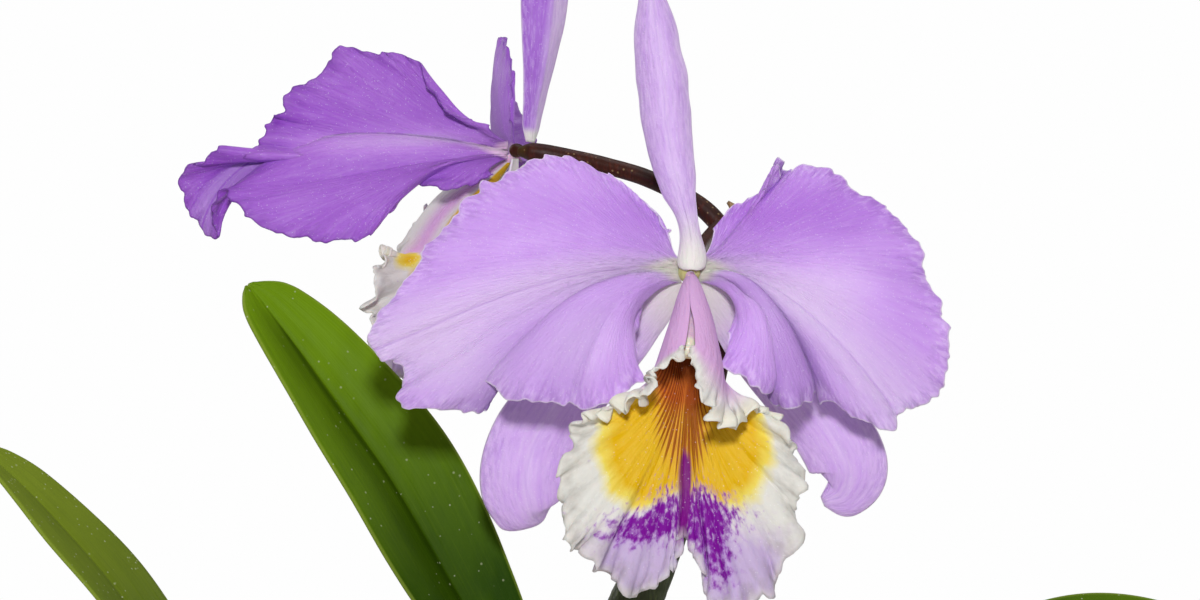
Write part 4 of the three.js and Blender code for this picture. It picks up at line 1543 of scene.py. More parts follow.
@dataclass
class Column:
    """A bloom's column: a waxy, slightly winged rod that ends in a cream cap."""

    node: str
    path: Sequence[Point]
    stand: Stand
    finish: Material
    radius: Pairs = ((0, 1.2), (0.3, 1.7), (0.8, 2.7), (0.97, 2.3), (1, 1.2))

    def build(self) -> None:
        """Makes the column and puts it in its place."""
        def wings(angle: Array, t: Array) -> Array:
            """Gives the rod two low wings and a groove below."""
            return 1 + 0.16 * np.cos(2 * angle) * rise(t, 0.3, 0.9) - 0.12 * bump(angle, np.pi, 0.6)

        rod = spindle(self.node + "_waxy", self.path, self.radius, 28, 36, self.finish, wings,
                      masks={"cap": lambda angle, t: rise(t, 0.86, 0.92)})
        end, before = np.array(self.path[-1]), np.array(self.path[-2])
        ahead = unit(end - before)
        cap_path = [tuple(end - 1.6 * ahead), tuple(end), tuple(end + 1.5 * ahead)]
        cap = spindle("cap", cap_path, ((0, 1.3), (0.3, 2.5), (0.75, 2.3), (1, 0.5)), 20, 10, self.finish,
                      lambda angle, t: 1 - 0.14 * bump(np.abs(np.sin(angle)), 0, 0.3),
                      masks={"cap": lambda angle, t: 1.0})
        mesh = joined(self.node + "_waxy", [rod, cap])
        place(moved(mesh, self.stand), self.node, Slot.COLUMN)


# Sizes of the blooms. Each bloom's own origin is where its parts meet, and it faces -Y.
LOW_BOW = ((0, 0), (0.72, 0), (0.87, 1), (0.95, 0.3), (1, 0))
ARCH = ((0, 0), (0.2, 0), (0.42, 0.5), (0.6, 0.95), (0.7, 1), (0.82, 0.6), (0.94, 0.1), (1, 0))
LEFT_FAN = Fan(
    claw=((-2.5, 0.2, 1.6), (-2.3, 0.4, -4.7)), midrib=(-1, -0.12, 0.12), billow=7, waves=0.03,
    bows=(((-9, 0, 0), LOW_BOW), ((-1, 0, 10), ARCH)),
    margin=(
        (-5.5, 2, 9), (-9.5, 5, 15), (-15, 7, 20), (-22, 8, 25.5), (-31, 8, 29), (-40, 7, 29.5),
        (-49, 5.5, 26.5), (-60, 4, 20), (-67, 3, 11), (-74, 2, 3), (-79, 1, -4.5), (-85, 1, -12),
        (-89, 2, -20.5), (-86.5, 4, -25), (-80.5, 5.5, -28.5), (-79, 6, -34), (-80, 5, -38),
        (-71, 3, -40), (-63, 4, -40.5), (-56.5, 4.5, -41), (-56.5, 7, -36.5), (-55, 4, -33),
        (-51, -1.5, -35.5), (-42, -5.5, -37.5), (-31.5, -7, -38.5), (-23, -7.5, -37.5), (-13, -5, -31),
        (-14.5, -1.5, -24), (-15.5, 1.5, -16), (-14, 3, -10), (-10, 2.5, -6.3),
    ),
)
RIGHT_FAN = Fan(
    claw=((2.5, 0.2, 1.6), (2.3, 0.4, -4.7)), midrib=(1, -0.12, 0.12), billow=7, waves=0.03,
    bows=(((9, 0, 0), LOW_BOW), ((3, 0, 11), ARCH)),
    margin=(
        (6.5, 2, 10), (12, 5, 16), (20, 6, 20), (24, 5, 23), (24.3, 3, 29.5), (27, 5.5, 26.3), (31, 7, 27.3),
        (40, 6, 26), (45, 7, 22), (52.5, 5, 18), (59, 4, 12), (63.5, 2, 5.5), (64.5, 4, -2),
        (68, 1, -9.5), (71, 1, -20.5), (71, 3, -30.5), (67, 5, -37.5), (59, 4, -39.5), (54.5, 2, -45),
        (47.5, 1, -43), (40, 1, -39), (34.5, 4, -38), (32.5, 6.5, -35), (33, 2.5, -34),
        (31, -2, -37.5), (26, -4.5, -39), (21.5, -2.5, -37), (21, -0.5, -34.5), (21.5, -4, -33),
        (19.5, -7.5, -34.5), (14.5, -9.5, -31), (8.5, -8, -26), (11, -4.5, -19.5), (13.8, 0, -13),
        (13, 2.5, -8), (9.5, 2.5, -5.8),
    ),
)
NEAR_FAN = Fan(
    claw=((-2.2, -1.6, 3), (-2.4, -1.6, -2.4)), midrib=(-1, -0.1, 0), billow=-5, waves=0.04,
    bows=(((-3, 0, 8), ((0, 0), (0.7, 0), (0.82, 1), (0.92, 0.3), (1, 0))),
          ((-20, 0, 20), ((0, 0), (0.46, 0), (0.56, 1), (0.62, 1), (0.665, 0.5), (0.69, 0), (1, 0)))),
    margin=(
        (-7.5, -3, 7.5), (-13, -3.5, 9), (-18, -4, 10.5), (-22.5, -3, 14.5), (-26.5, -1, 21.5),
        (-30.5, 2, 27.5), (-38.5, 4, 29), (-47, 5, 30.5), (-53, 5, 30), (-57, 5.5, 24.5), (-62, 3, 20.5),
        (-67, 4.5, 18.5), (-68, 2, 12), (-73.5, 4, 9.5), (-75, 1.5, 4.5), (-77, 3, 1.5), (-79.5, 0.5, -1),
        (-84, 2, -0.5), (-87.5, 0, 0.5), (-91, 2, -2.5), (-96, 4, -3.5), (-99, 6, -8), (-97.5, 8, -15),
        (-94.5, 8, -21), (-90.5, 7, -25), (-87.5, 6, -25.5), (-89.5, 4, -20), (-89, 1, -14.5), (-86, -2, -11),
        (-82, -4.5, -15.5), (-77, -6, -20),
        (-69.5, -7.5, -23.5), (-59.5, -8.5, -26.5), (-49.5, -8, -26.5), (-42.5, -6, -25),
        (-37.5, -2.5, -19), (-34.5, 1, -12.5), (-31, 2.5, -9), (-26.5, -0.5, -10), (-20, -3.5, -11.5),
        (-13, -4, -8.5), (-7.5, -2.6, -5.2),
    ),
)
FRONT_DORSAL = Strap(
    spine=(
        (0.3, -4.1, -1.3), (0.4, -3.6, 3.5), (-0.2, -2, 10), (-2.3, 0.5, 18.5), (-4.7, 3.5, 28),
        (-6.3, 6, 39), (-7.2, 8, 51), (-8.8, 9.5, 62), (-10, 12, 73), (-11.5, 16, 83),
    ),
    face=((0, -1, 0), (0, -1, 0.1)),
    width=((0, 1.8), (0.012, 3.7), (0.035, 4.7), (0.1, 4.8), (0.24, 3.2), (0.5, 8.2), (0.8, 8), (1, 1)),
    roll=1.2,
)
FRONT_LATERAL_LEFT = Strap(
    spine=(
        (-3.1, 1.6, -4.2), (-7, 4.4, -7.8), (-13, 8.5, -14), (-21, 12, -22.5), (-30, 15, -31.5),
        (-38, 17.5, -41), (-43.5, 18.5, -51), (-45.5, 18.5, -61), (-44, 21, -69.5), (-42, 27, -73),
    ),
    face=((0.1, -1, 0.1), (0.1, -1, -0.1)),
    width=((0, 2.6), (0.15, 6), (0.5, 11.5), (0.75, 13.5), (0.92, 10), (1, 2)),
    roll=0.5,
)
FRONT_LATERAL_RIGHT = Strap(
    spine=(
        (3.1, 1.6, -4.2), (7, 4.4, -8), (12.5, 8.5, -15), (21, 12, -25), (31, 15, -36),
        (38.5, 17, -44.5), (43.5, 17.5, -52.5), (45.2, 18.5, -59), (43, 21, -64.5), (38, 23, -66.5),
    ),
    face=((-0.1, -1, 0.1), (-0.1, -1, -0.1)),
    width=((0, 2.6), (0.15, 6), (0.5, 10.8), (0.72, 11.6), (0.9, 7.5), (1, 1.5)),
    roll=0.5,
)
BACK_DORSAL = Strap(
    spine=(
        (4.8, -2.4, 2.5), (6.2, -2.2, 13.5), (8.3, -3, 25), (10, -4, 37), (11, -5, 48), (11.5, -7, 60),
        (10.5, -10, 71), (7, -14, 81),
    ),
    face=((-0.6, 0.8, 0), (-0.5, 0.86, 0)),
    width=((0, 1.9), (0.06, 3.5), (0.15, 4.3), (0.5, 9.5), (0.8, 8.8), (1, 1)),
    fold=32,
)
BACK_LATERAL_NEAR = Strap(
    spine=(
        (-0.4, -3.1, -2.3), (-2.4, -1.4, -12), (-2, 2.5, -28), (0.5, 6, -42), (3, 10, -55), (4, 17, -66),
        (3, 25, -71),
    ),
    face=((-0.9, 0.3, 0), (-0.6, 0.6, -0.2)),
    width=((0, 2.4), (0.15, 5), (0.6, 10.5), (0.85, 8.5), (1, 1.5)),
    roll=0.5,
)
BACK_LATERAL_FAR = Strap(
    spine=(
        (2, 2.4, -4.3), (7, 10.5, -12), (9.5, 21, -24), (10, 31, -38), (8.5, 38, -52), (9, 42, -63),
        (12, 45, -70),
    ),
    face=((-0.5, 0.3, 0.6), (-0.8, 0.4, -0.1)),
    width=((0, 2.4), (0.15, 5.5), (0.6, 10.5), (0.85, 8.5), (1, 1.5)),
    roll=0.5,
)
FRONT_LIP = Lip(
    tube=((0, -2.6, -3), (0, -8, -9.3), (0, -13.2, -16.8), (-0.6, -18, -25.5)),
    margin=(
        (-2.4, -25.5, -22), (-4.6, -28, -25), (-8.3, -30, -27.4), (-11.5, -29.5, -31),
        (-12.3, -27.5, -35.3), (-15, -25, -37.5),
        (-19, -24, -38), (-25, -21.5, -40.5), (-30.5, -20, -44), (-33.5, -19, -50), (-35.5, -19, -58),
        (-35, -20, -68), (-33.5, -21.5, -75.5), (-29, -22, -77.5), (-26, -20.5, -81), (-22.5, -18.5, -85),
        (-16, -17, -88.5), (-9, -16.5, -87), (-5, -18, -82), (-4.5, -20, -77.5), (-2.7, -21.5, -74),
        (0, -21.5, -76), (2.5, -20, -84), (5, -19, -91), (10, -18, -95), (17, -18, -92),
        (21.5, -19, -87.5), (25, -20, -81), (29, -20, -72), (28, -20.5, -65), (28.5, -20, -59),
        (28, -20, -50), (23.5, -21, -42.5), (18.5, -24, -40), (13.5, -28.5, -42), (9.2, -31.5, -43.5),
        (6, -33, -42.5), (3.6, -33, -38.5), (1.6, -32, -34), (0, -29.5, -28.5), (-1, -25.5, -22),
    ),
)
# The back lip's margin is the front one's, shorter and flatter, at the mouth of its own tube.
BACK_LIP = Lip(
    tube=((0, -2.6, -2.4), (0, -10.5, -7.2), (0, -18.5, -12.2), (-0.4, -26, -18), (-1, -32.5, -26)),
    margin=tuple((0.98 * x, 0.9 * (y + 22) - 34, 0.72 * (z + 34) - 26) for x, y, z in FRONT_LIP.margin),
)
FRONT_COLUMN = (
    (0, -0.4, -1.2), (0, -5.4, -6.1), (0, -10.8, -12.6), (-0.4, -15.6, -18.8), (-1.1, -19.3, -23.6),
)
BACK_COLUMN = ((0, -0.2, -1), (0, -7.5, -5), (0, -14.5, -9.2), (-0.2, -21.5, -13.8), (-0.4, -27, -19))
FRONT_STAND = Stand((27.5, -35, 394))
BACK_STAND = Stand((-22, 25, 428))
BACK_HEART = replace(BACK_STAND, turn=(0, 0, -130))
FAR_STAND = replace(BACK_STAND, turn=(20, 15, -88), size=0.9)


@dataclass
class Blooms:
    """The two flowers."""

    petal: Material
    shaded_petal: Material
    sepal: Material
    lip: Material
    column: Material

    def build(self) -> None:
        """Makes every part of both flowers."""
        front, back = FRONT_STAND, BACK_STAND
        organs = (
            Petal(
                "front_petal_left", LEFT_FAN, front, self.petal, seed=11, midrib_at=0.425, ground=0.1,
                folds=(Fold(0.69, 3.5, start=0.05, lap=1.1), Fold(0.8, 0.5)),
                # Spots: deeper tint near the claw and painted shade over the upper blade; below zero, painted
                # light on the lower lobe.
                tint_and_shade_spots=(
                    Spot(-12, 13, 16, 11, 0.5), Spot(-40, 16, 24, 10, 0.3), Spot(-28, -22, 15, 13, -0.35),
                    Spot(-66, -26, 18, 13, -0.6),
                ),
            ),
            Petal(
                "front_petal_right", RIGHT_FAN, front, self.petal, seed=31, midrib_at=0.495, ground=0.12,
                folds=(
                    Fold(0.662, 3, start=0.08), Fold(0.788, 2.8, start=0.08),
                    Fold(0.15, 1.4, start=0.6, wide=0.03),
                ),
                # Spots: deeper tint near the claw and painted shade over the upper blade; below zero, painted
                # light on the lower lobes.
                tint_and_shade_spots=(
                    Spot(14, 12, 14, 11, 0.5), Spot(38, 15, 24, 12, 0.85), Spot(60, -8, 8, 14, 0.3),
                    Spot(36, -6, 17, 11, -0.55),
                ),
            ),
            # Back bloom: its high ground paints shade, and its spots a paler band along the midrib, with
            # painted shade above it and on the curled tip.
            Petal(
                "back_petal_near", NEAR_FAN, back, self.shaded_petal, seed=51, midrib_at=0.57, columns=560,
                rows=36, ground=0.55,
                tint_and_shade_spots=(
                    Spot(-88, -10, 9, 14, 0.35), Spot(-25, 3.5, 20, 4, -0.8), Spot(-52, 2, 16, 3.5, -0.6),
                    Spot(-70, 9, 20, 6, 0.3),
                ),
            ),
            # The far petal's high ground paints shade.
            Petal(
                "back_petal_far", replace(LEFT_FAN, billow=15), FAR_STAND, self.shaded_petal, seed=71,
                midrib_at=0.425, columns=400, rows=30, ground=0.6,
            ),
            Sepal("front_sepal_top", FRONT_DORSAL, front, self.sepal, seed=91, claw=20),
            Sepal("front_sepal_left", FRONT_LATERAL_LEFT, front, self.sepal, seed=93, claw=30),
            Sepal("front_sepal_right", FRONT_LATERAL_RIGHT, front, self.sepal, seed=95, claw=30),
            # The back dorsal sepal: one half painted in shade.
            Sepal(
                "back_sepal_top", BACK_DORSAL, back, self.sepal, seed=97, claw=5, ground=0.6, side_shade=-0.6,
            ),
            Sepal("back_sepal_near", BACK_LATERAL_NEAR, back, self.sepal, seed=99, columns=28, rows=90),
            Sepal("back_sepal_far", BACK_LATERAL_FAR, back, self.sepal, seed=101, columns=28, rows=90),
            LipPiece("front_lip", FRONT_LIP, FRONT_LIP, front, self.lip, seed=111),
            LipPiece(
                "back_lip", BACK_LIP, FRONT_LIP, BACK_HEART, self.lip, seed=131, columns=400, rows=50,
                side_on=True,
            ),
            Column("front_column", FRONT_COLUMN, front, self.column),
            Column("back_column", BACK_COLUMN, BACK_HEART, self.column),
        )
        for organ in organs:
            organ.build()


# ---- stems, leaves, bulbs and roots


def sweep_tree() -> NodeTree:
    """Builds the tree that grows a stalk along a line of points, each with its own radius.

    Returns:
        The tree, with inputs Sides, Lumps, Lump size and Skin.
    """
    inputs = {"Line": "Geometry", "Sides": "Int", "Lumps": "Float", "Lump size": "Float", "Skin": "Material"}
    tree = new_growth("Stalk along a path", inputs, "Stalk")
    given = add_node(tree, "NodeGroupInput").outputs
    line = add_node(tree, "GeometryNodeMeshToCurve", {"Mesh": given["Line"]})
    stored = add_node(tree, "GeometryNodeInputNamedAttribute", {"Name": "radius"}, data_type="FLOAT")
    radius = stored.outputs["Attribute"]
    thick = add_node(tree, "GeometryNodeSetCurveRadius", {"Curve": line, "Radius": radius})
    circle = {"Resolution": given["Sides"], "Radius": 1.0}
    ring = add_node(tree, "GeometryNodeCurvePrimitiveCircle", circle).outputs["Curve"]
    swept = {"Curve": thick, "Profile Curve": ring, "Scale": radius, "Fill Caps": True}
    stalk = add_node(tree, "GeometryNodeCurveToMesh", swept)
    waves = add_node(tree, "ShaderNodeTexNoise", {"Scale": given["Lump size"], "Detail": 2.0}).outputs["Fac"]
    centred = add_node(tree, "ShaderNodeMath", {0: waves, 1: 0.5}, operation="SUBTRACT")
    height = add_node(tree, "ShaderNodeMath", {0: centred, 1: given["Lumps"]}, operation="MULTIPLY")
    normal = add_node(tree, "GeometryNodeInputNormal")
    offset = add_node(tree, "ShaderNodeVectorMath", {0: normal, "Scale": height}, operation="SCALE")
    lumpy = add_node(tree, "GeometryNodeSetPosition", {"Geometry": stalk, "Offset": offset})
    smooth = add_node(tree, "GeometryNodeSetShadeSmooth", {"Geometry": lumpy, "Shade Smooth": True})
    real = add_node(tree, "GeometryNodeRealizeInstances", {"Geometry": smooth})
    skin = add_node(tree, "GeometryNodeSetMaterial", {"Geometry": real, "Material": given["Skin"]})
    add_node(tree, "NodeGroupOutput", {0: skin})
    return tree


@dataclass
class Stalk:
    """A stem or root that follows a path."""

    name: str
    path: Sequence[Point]
    radius: Pairs
    skin: Material
    sides: int = 24
    steps: int = 80
    lumps: float = 0.2
    lump_size: float = 6.0
    joints: Sequence[float] = ()
    joint_height: float = 0.45
    green: Callable[[Array], Array] | None = None

    def grow(self, tree: NodeTree) -> Mesh:
        """Makes the stalk, with a rounded tip.

        Args:
            tree: The tree that sweeps it.

        Returns:
            Its mesh.
        """
        share = np.linspace(0, 1, self.steps + 1)
        reach = profile(self.radius)(share)
        for joint in self.joints:
            reach = reach + self.joint_height * bump(share, joint, 0.012)
        tip = reach[-1]
        points = Path(self.path).at(share)
        ahead = unit(points[-1] - points[-2])
        points = np.concatenate([points, [points[-1] + 0.5 * tip * ahead, points[-1] + 0.75 * tip * ahead]])
        reach = np.concatenate([reach, [0.75 * tip, 0.3 * tip]])
        share = np.concatenate([share, [1.0, 1.0]])
        line = bpy.data.meshes.new(self.name + "_line")
        line.from_pydata((points * MM).tolist(), [(k, k + 1) for k in range(len(points) - 1)], [])
        paint_masks(line, {"radius": reach * MM, "green": self.green(share) if self.green else 0 * share})
        inputs = {
            "Sides": self.sides, "Lumps": self.lumps * MM, "Lump size": 1 / (self.lump_size * MM),
            "Skin": self.skin,
        }
        return grown(self.name, line, tree, inputs)


PEDUNCLE_PATH = (
    (-3.6, -0.5, 255.6), (3, -0.5, 275), (13.3, 0, 299), (24, 1.5, 325), (35, 3.5, 358),
    (39.5, 4.5, 384), (38, 5, 405),
)
BACK_PEDICEL_PATH = (
    (38, 5, 405), (31.5, 8, 411.6), (17, 12.5, 419.4), (3, 17, 423.8), (-9, 20.4, 426.4),
    (-16.5, 21.7, 427.6), (-20.4, 22.2, 427.8),
)
FRONT_PEDICEL_PATH = (
    (38, 5, 405), (36.5, -3, 404.5), (33.5, -13, 401.5), (30, -23, 397.5), (28, -29, 394.8),
    (27.5, -33.8, 394),
)
BRACT = Strap(
    spine=((42.3, 2.6, 402.5), (43, 1, 406.5), (41.6, -0.6, 410), (39.2, -1.4, 412.4)),
    face=((0.5, -0.8, 0), (0.5, -0.8, 0)),
    width=((0, 2.6), (0.5, 2.2), (1, 0.5)),
    roll=0.7,
)


@dataclass
class FlowerStem:
    """The stem that carries the blooms, with its pedicels and bract, and a sheath over its sleeve's share."""

    sweep: NodeTree
    skin: Material
    cup: Material
    sheath: Material
    dry: Material
    sleeve: float = 0.52

    def build(self) -> None:
        """Makes every part of the stem."""
        ends = {"lumps": 0.25, "lump_size": 7}
        peduncle = Stalk("peduncle_skin", PEDUNCLE_PATH, ((0, 3.2), (0.8, 2.9), (1, 3)), self.skin, 28, 140,
                         joints=(0.62, 0.985), green=lambda t: 0.8 * (1 - rise(t, 0.3, 0.55)), **ends)
        place(peduncle.grow(self.sweep), "peduncle", Slot.STEM)
        back = Stalk("pedicel_back_skin", BACK_PEDICEL_PATH, ((0, 2.8), (0.5, 2.5), (0.85, 2.7), (1, 1.6)),
                     self.skin, 24, 90, green=lambda t: 0.15 * rise(t, 0.8, 1), **ends)
        middle = ((-20, 21.8, 427.9), (-21.8, 24.2, 428.2), (-23, 26, 427.8))
        swelling = ((0, 1.0), (0.25, 1.9), (0.65, 2.0), (1, 0.8))
        cup = spindle("cup", middle, swelling, 24, 14, self.skin)
        place(joined("pedicel_back_skin", [back.grow(self.sweep), cup]), "pedicel_back", Slot.STEM)
        front = Stalk("pedicel_front_skin", FRONT_PEDICEL_PATH, ((0, 2.6), (0.5, 2.5), (0.85, 3.4), (1, 2.8)),
                      self.skin, 24, 80, green=lambda t: rise(t, 0.75, 1), **ends)
        middle = ((27.4, -32.4, 393.4), (27.3, -35, 391.9), (27.3, -37.4, 390.6))
        swelling = ((0, 2.3), (0.35, 3.1), (0.75, 2.6), (1, 0.8))
        cup = spindle("cup", middle, swelling, 28, 16, self.cup)
        place(joined("pedicel_front_skin", [front.grow(self.sweep), cup]), "pedicel_front", Slot.STEM)
        self.build_sheath()
        sheet = Sheet(BRACT, 16, 24, 0.6, rim=0.3, fade=0.8)
        sheet.lift(0.25 * drift(7, sheet.length / 2, 4 * sheet.u[:, None]))
        masks = {"torn": rise(-sheet.edge, -0.8, -0.1)}
        place(sheet.body("bract_papery", masks, 6, self.dry), "bract", Slot.BRACT)

    def build_sheath(self) -> None:
        """Makes the green sheath as a closed sleeve round the peduncle, with a keel and an open mouth."""
        line = Path(PEDUNCLE_PATH)
        share, angle = np.linspace(0, 1, 91), ring_angles(56)
        place_at = self.sleeve * share
        tangent = line.tangent(place_at)
        side = unit(np.cross(tangent, [0.0, 1.0, 0.0]))[:, None]
        front = np.cross(side, tangent[:, None])
        reach = profile(((0, 5.4), (0.15, 5.8), (0.6, 7), (0.9, 6), (1, 5.2)))(share)[:, None]
        reach = reach * (1 - 0.2 * np.sin(angle) ** 2 + 0.07 * bump(np.abs(np.cos(angle)), 1, 0.05))
        reach = reach + 0.12 * drift(5, 60 * share[:, None], 3 * np.sin(angle))
        slant = 4.0 * np.cos(angle) * rise(share, 0.9, 1)[:, None]

        def wall(radius: Array) -> Array:
            """Makes one wall of the sleeve."""
            level = line.at(place_at)[:, None] + radius[..., None] * around(side, front, angle)
            return level + slant[..., None] * tangent[:, None]

        outer, inner = wall(reach), wall(reach - 0.5 - 0.6 * (1 - rise(share, 0.6, 0.95))[:, None])
        number, after = numbered(*outer.shape[:2])
        skin, count = tube_faces(number, after), number.size
        low = np.stack([after[0], number[0], number[0] + count, after[0] + count], -1)
        high = np.stack([number[-1], after[-1], after[-1] + count, number[-1] + count], -1)
        faces = np.concatenate([skin, skin[:, ::-1] + count, low, high])
        mesh = make_mesh("sheath_leathery", np.concatenate([outer, inner]).reshape(-1, 3), faces)
        torn = np.broadcast_to(rise(share, 0.965, 1)[:, None], number.shape).ravel()
        paint_masks(mesh, {"torn": np.tile(torn, 2)})
        mesh.materials.append(self.sheath)
        place(mesh, "sheath", Slot.SHEATH)


@dataclass(frozen=True)
class Leaf:
    """A leaf's form, whether it is old, how dark the painted shade along its midrib and over one half is, and
    how worn its tip.
    """

    form: Strap
    old: bool = False
    valley: float = 1.0
    worn: float = 0.9


LEAF_WIDTH = ((0, 0.22), (0.1, 0.36), (0.36, 0.8), (0.62, 1), (0.85, 0.8), (0.95, 0.56), (1, 0.26))
LEAVES = (
    Leaf(Strap(
        spine=(
            (-7.5, 5, 252), (-16, 7.5, 265), (-27, 9, 281), (-37, 9, 297.5), (-47, 9, 315),
            (-58, 9, 333.5), (-71, 9, 352), (-83.5, 9, 369), (-99, 9, 388.5),
        ),
        face=((0.35, -0.9, 0.25), (0.56, -0.76, 0.36)), width=LEAF_WIDTH, fold=26, girth=21.3,
    ), worn=0.3),
    Leaf(Strap(
        spine=(
            (-76.5, 4, 208), (-86, 2, 222), (-98, 0, 241), (-111.5, 0, 264), (-124.5, 0, 285),
            (-137, 0, 303), (-150.5, 0, 318.5), (-163, 0, 331.5), (-175, 0, 342),
        ),
        face=((0.7, -0.45, 0.55), (0.76, -0.25, 0.57)), width=LEAF_WIDTH, fold=12, girth=17,
    ), old=True, valley=0.25),
    Leaf(Strap(
        spine=(
            (62.5, 7.5, 209.5), (74, 6, 230), (87, 3, 249), (103, 0, 266), (122, -3, 278), (143, -5, 284),
            (165, -6, 282.5), (187, -6, 273), (206, -6, 257),
        ),
        face=((-0.6, -0.5, 0.5), (0.3, -0.45, 0.85)), width=LEAF_WIDTH, fold=20, girth=21,
    )),
    Leaf(Strap(
        spine=(
            (-29.5, 62, 199), (-32, 74, 218), (-37, 89, 237), (-43, 105, 250), (-52, 121, 255),
            (-63, 136, 251), (-74, 148, 240),
        ),
        face=((0.2, -0.8, 0.5), (0.3, -0.3, 0.9)), width=LEAF_WIDTH, fold=20, girth=20,
    ), old=True),
)


@dataclass
class Foliage:
    """The four leathery leaves."""

    fresh: Material
    old: Material
    thickness: float = 2.0

    def build(self) -> None:
        """Makes the leaves and puts them in their places."""
        for k, leaf in enumerate(LEAVES):
            blade = replace(leaf.form, blunt=0.03)
            sheet = Sheet(blade, 34, 110, self.thickness, rim=0.35, fade=5, crowd=1.3)
            u, v = sheet.grid()
            middle = 0.5 + 0.02 * drift(200 + k, 5 * v)
            height = -0.7 * bump(u, 0.5, 0.03) * rise(v, 0, 0.1) * (1 - rise(v, 0.9, 1))
            height = height + 0.8 * drift(210 + k, sheet.length / 34, 2 * u) * np.abs(2 * u - 1)
            height = height + 0.12 * drift(220 + k, 26 * u, sheet.length / 50)
            sheet.lift(height)
            # Painted shade: dark along the sunk midrib and over one half of the blade.
            valley = 0.6 * bump(u, middle - 0.045, 0.035) + 0.45 * bump(u, 0.38, 0.16)
            valley = (valley + 0.15 * (1 - rise(u, 0.3, 0.5))) * (1 - rise(v, 0.9, 0.99))
            masks = {
                "height": rise(v, 0.3, 0.95),
                "valley": valley * leaf.valley,
                "worn": rise(v, 0.965, 1) * leaf.worn,
            }
            mesh = sheet.body(f"leaf_{k + 1}_leathery", masks, 40, self.old if leaf.old else self.fresh)
            place(mesh, f"leaf_{k + 1}", Slot.LEAF)


@dataclass(frozen=True)
class Bulb:
    """A pseudobulb's middle line, its widest radius and the depth of its furrows as a share of it."""

    path: Sequence[Point]
    size: float
    depth: float = 0.05


BULBS = (
    Bulb(((3, -6.5, 103), (2, -6.5, 130), (-1, -5, 175), (-4, -1.5, 222), (-5.5, 2.2, 254)), 12.5),
    Bulb(((-34.5, 7, 103), (-40, 6, 126), (-52, 4.5, 158), (-67, 4, 190), (-77, 4, 209)), 11.5),
    Bulb(((37, 5.5, 103), (41, 6, 128), (48, 7, 160), (57, 7.5, 190), (63, 7.5, 210.5)), 11.5),
    Bulb(((-14, 29, 103), (-16, 35, 124), (-20, 45, 150), (-26, 56, 178), (-30, 62.5, 200)), 11.0),
    Bulb(((13, 32, 103), (15, 36, 118), (19, 44, 136), (24, 51, 156), (27, 55, 172)), 11.0, 0.09),
)


def girth(size: float) -> Pairs:
    """Gives a pseudobulb's radius along it."""
    return (0, 4.6), (0.12, 5.6), (0.4, 0.8 * size), (0.68, size), (0.9, 0.66 * size), (1, 4)


@dataclass
class Pseudobulbs:
    """The swollen stems, each with the papery sheaths that it grew in."""

    skin: Material
    paper: Material
    spans: Sequence[tuple[float, float]] = ((0.015, 0.2), (0.09, 0.4), (0.22, 0.62))

    def build(self) -> None:
        """Makes the pseudobulbs and puts them in their places."""
        masks = {
            "height": lambda angle, t: rise(t, 0.1, 0.7),
            "furrow": lambda angle, t: np.clip(-np.cos(6 * angle), 0, 1) * np.sin(np.pi * t),
        }
        for k, bulb in enumerate(BULBS):
            name = f"pseudobulb_{k + 1}"

            def furrows(angle: Array, t: Array, depth: float = bulb.depth, k: int = k) -> Array:
                """Flattens the bulb and cuts its furrows, deeper in the old leafless one."""
                ribs = 0.6 * np.cos(6 * angle) + 0.4 * np.cos(13 * angle + 5 * t + k)
                return 1 - 0.2 * np.sin(angle) ** 2 + 1.4 * depth * np.sin(np.pi * t) * ribs

            flesh = spindle(name + "_skin", bulb.path, girth(bulb.size), 60, 60, self.skin, furrows,
                            up=(0, 1, 0), masks=masks)
            sheaths = [self.sheath(bulb, k, order) for order in range(len(self.spans))]
            place(joined(name + "_skin", [flesh, *sheaths]), name, Slot.BULB)

    def sheath(self, bulb: Bulb, number: int, order: int) -> Mesh:
        """Makes one papery sheath that hugs the bulb and is split and torn at its mouth.

        Args:
            bulb: The bulb.
            number: The bulb's number.
            order: The sheath's number, from the lowest.

        Returns:
            The sheath.
        """
        wrap = Wrap(bulb.path, girth(bulb.size), self.spans[order], 2.1 * order + number, 0.25 * (2 - order),
                    300 + 10 * number + order)
        sheet = Sheet(wrap, 64, 16, 0.3, rim=0.5, fade=1)
        masks = {"torn": rise(-sheet.edge, -1.6, -0.2)}
        return sheet.body("papery_sheath", masks, 60, self.paper)


RHIZOME_PATH = (
    (27, 27, 101.5), (14, 32, 103), (-8, 31, 103), (-26, 22, 103), (-34, 8, 103), (-20, -3, 103),
    (4, -7, 103), (24, -1, 103), (38, 6, 103), (47, 9, 101.5),
)
ROOTS = (
    ((0, -8, 102), (-6, -20, 104.5), (-15, -36, 106.5), (-22, -51, 112), (-27, -62.5, 116),
     (-30.5, -69.5, 110), (-31.5, -70.5, 96), (-31, -69, 80), (-31.5, -67, 64), (-34, -63, 50)),
    ((20, -2, 102), (31, -12, 104.5), (44, -20, 107), (56, -26, 113), (64.5, -31, 115),
     (70, -33.5, 108), (70.5, -33.5, 94), (68, -33, 79)),
    ((-33, 10, 102), (-40, 16, 104.5), (-44, 23, 102), (-44.5, 28, 94), (-43, 31, 82)),
    ((-27, 0, 102), (-32, -14, 104.5), (-36, -25, 102.5), (-37, -31, 93), (-35, -34, 80)),
    ((16, -4, 102), (20, -18, 104.5), (24, -30, 102.5), (25, -37, 94), (24, -42, 82)),
)


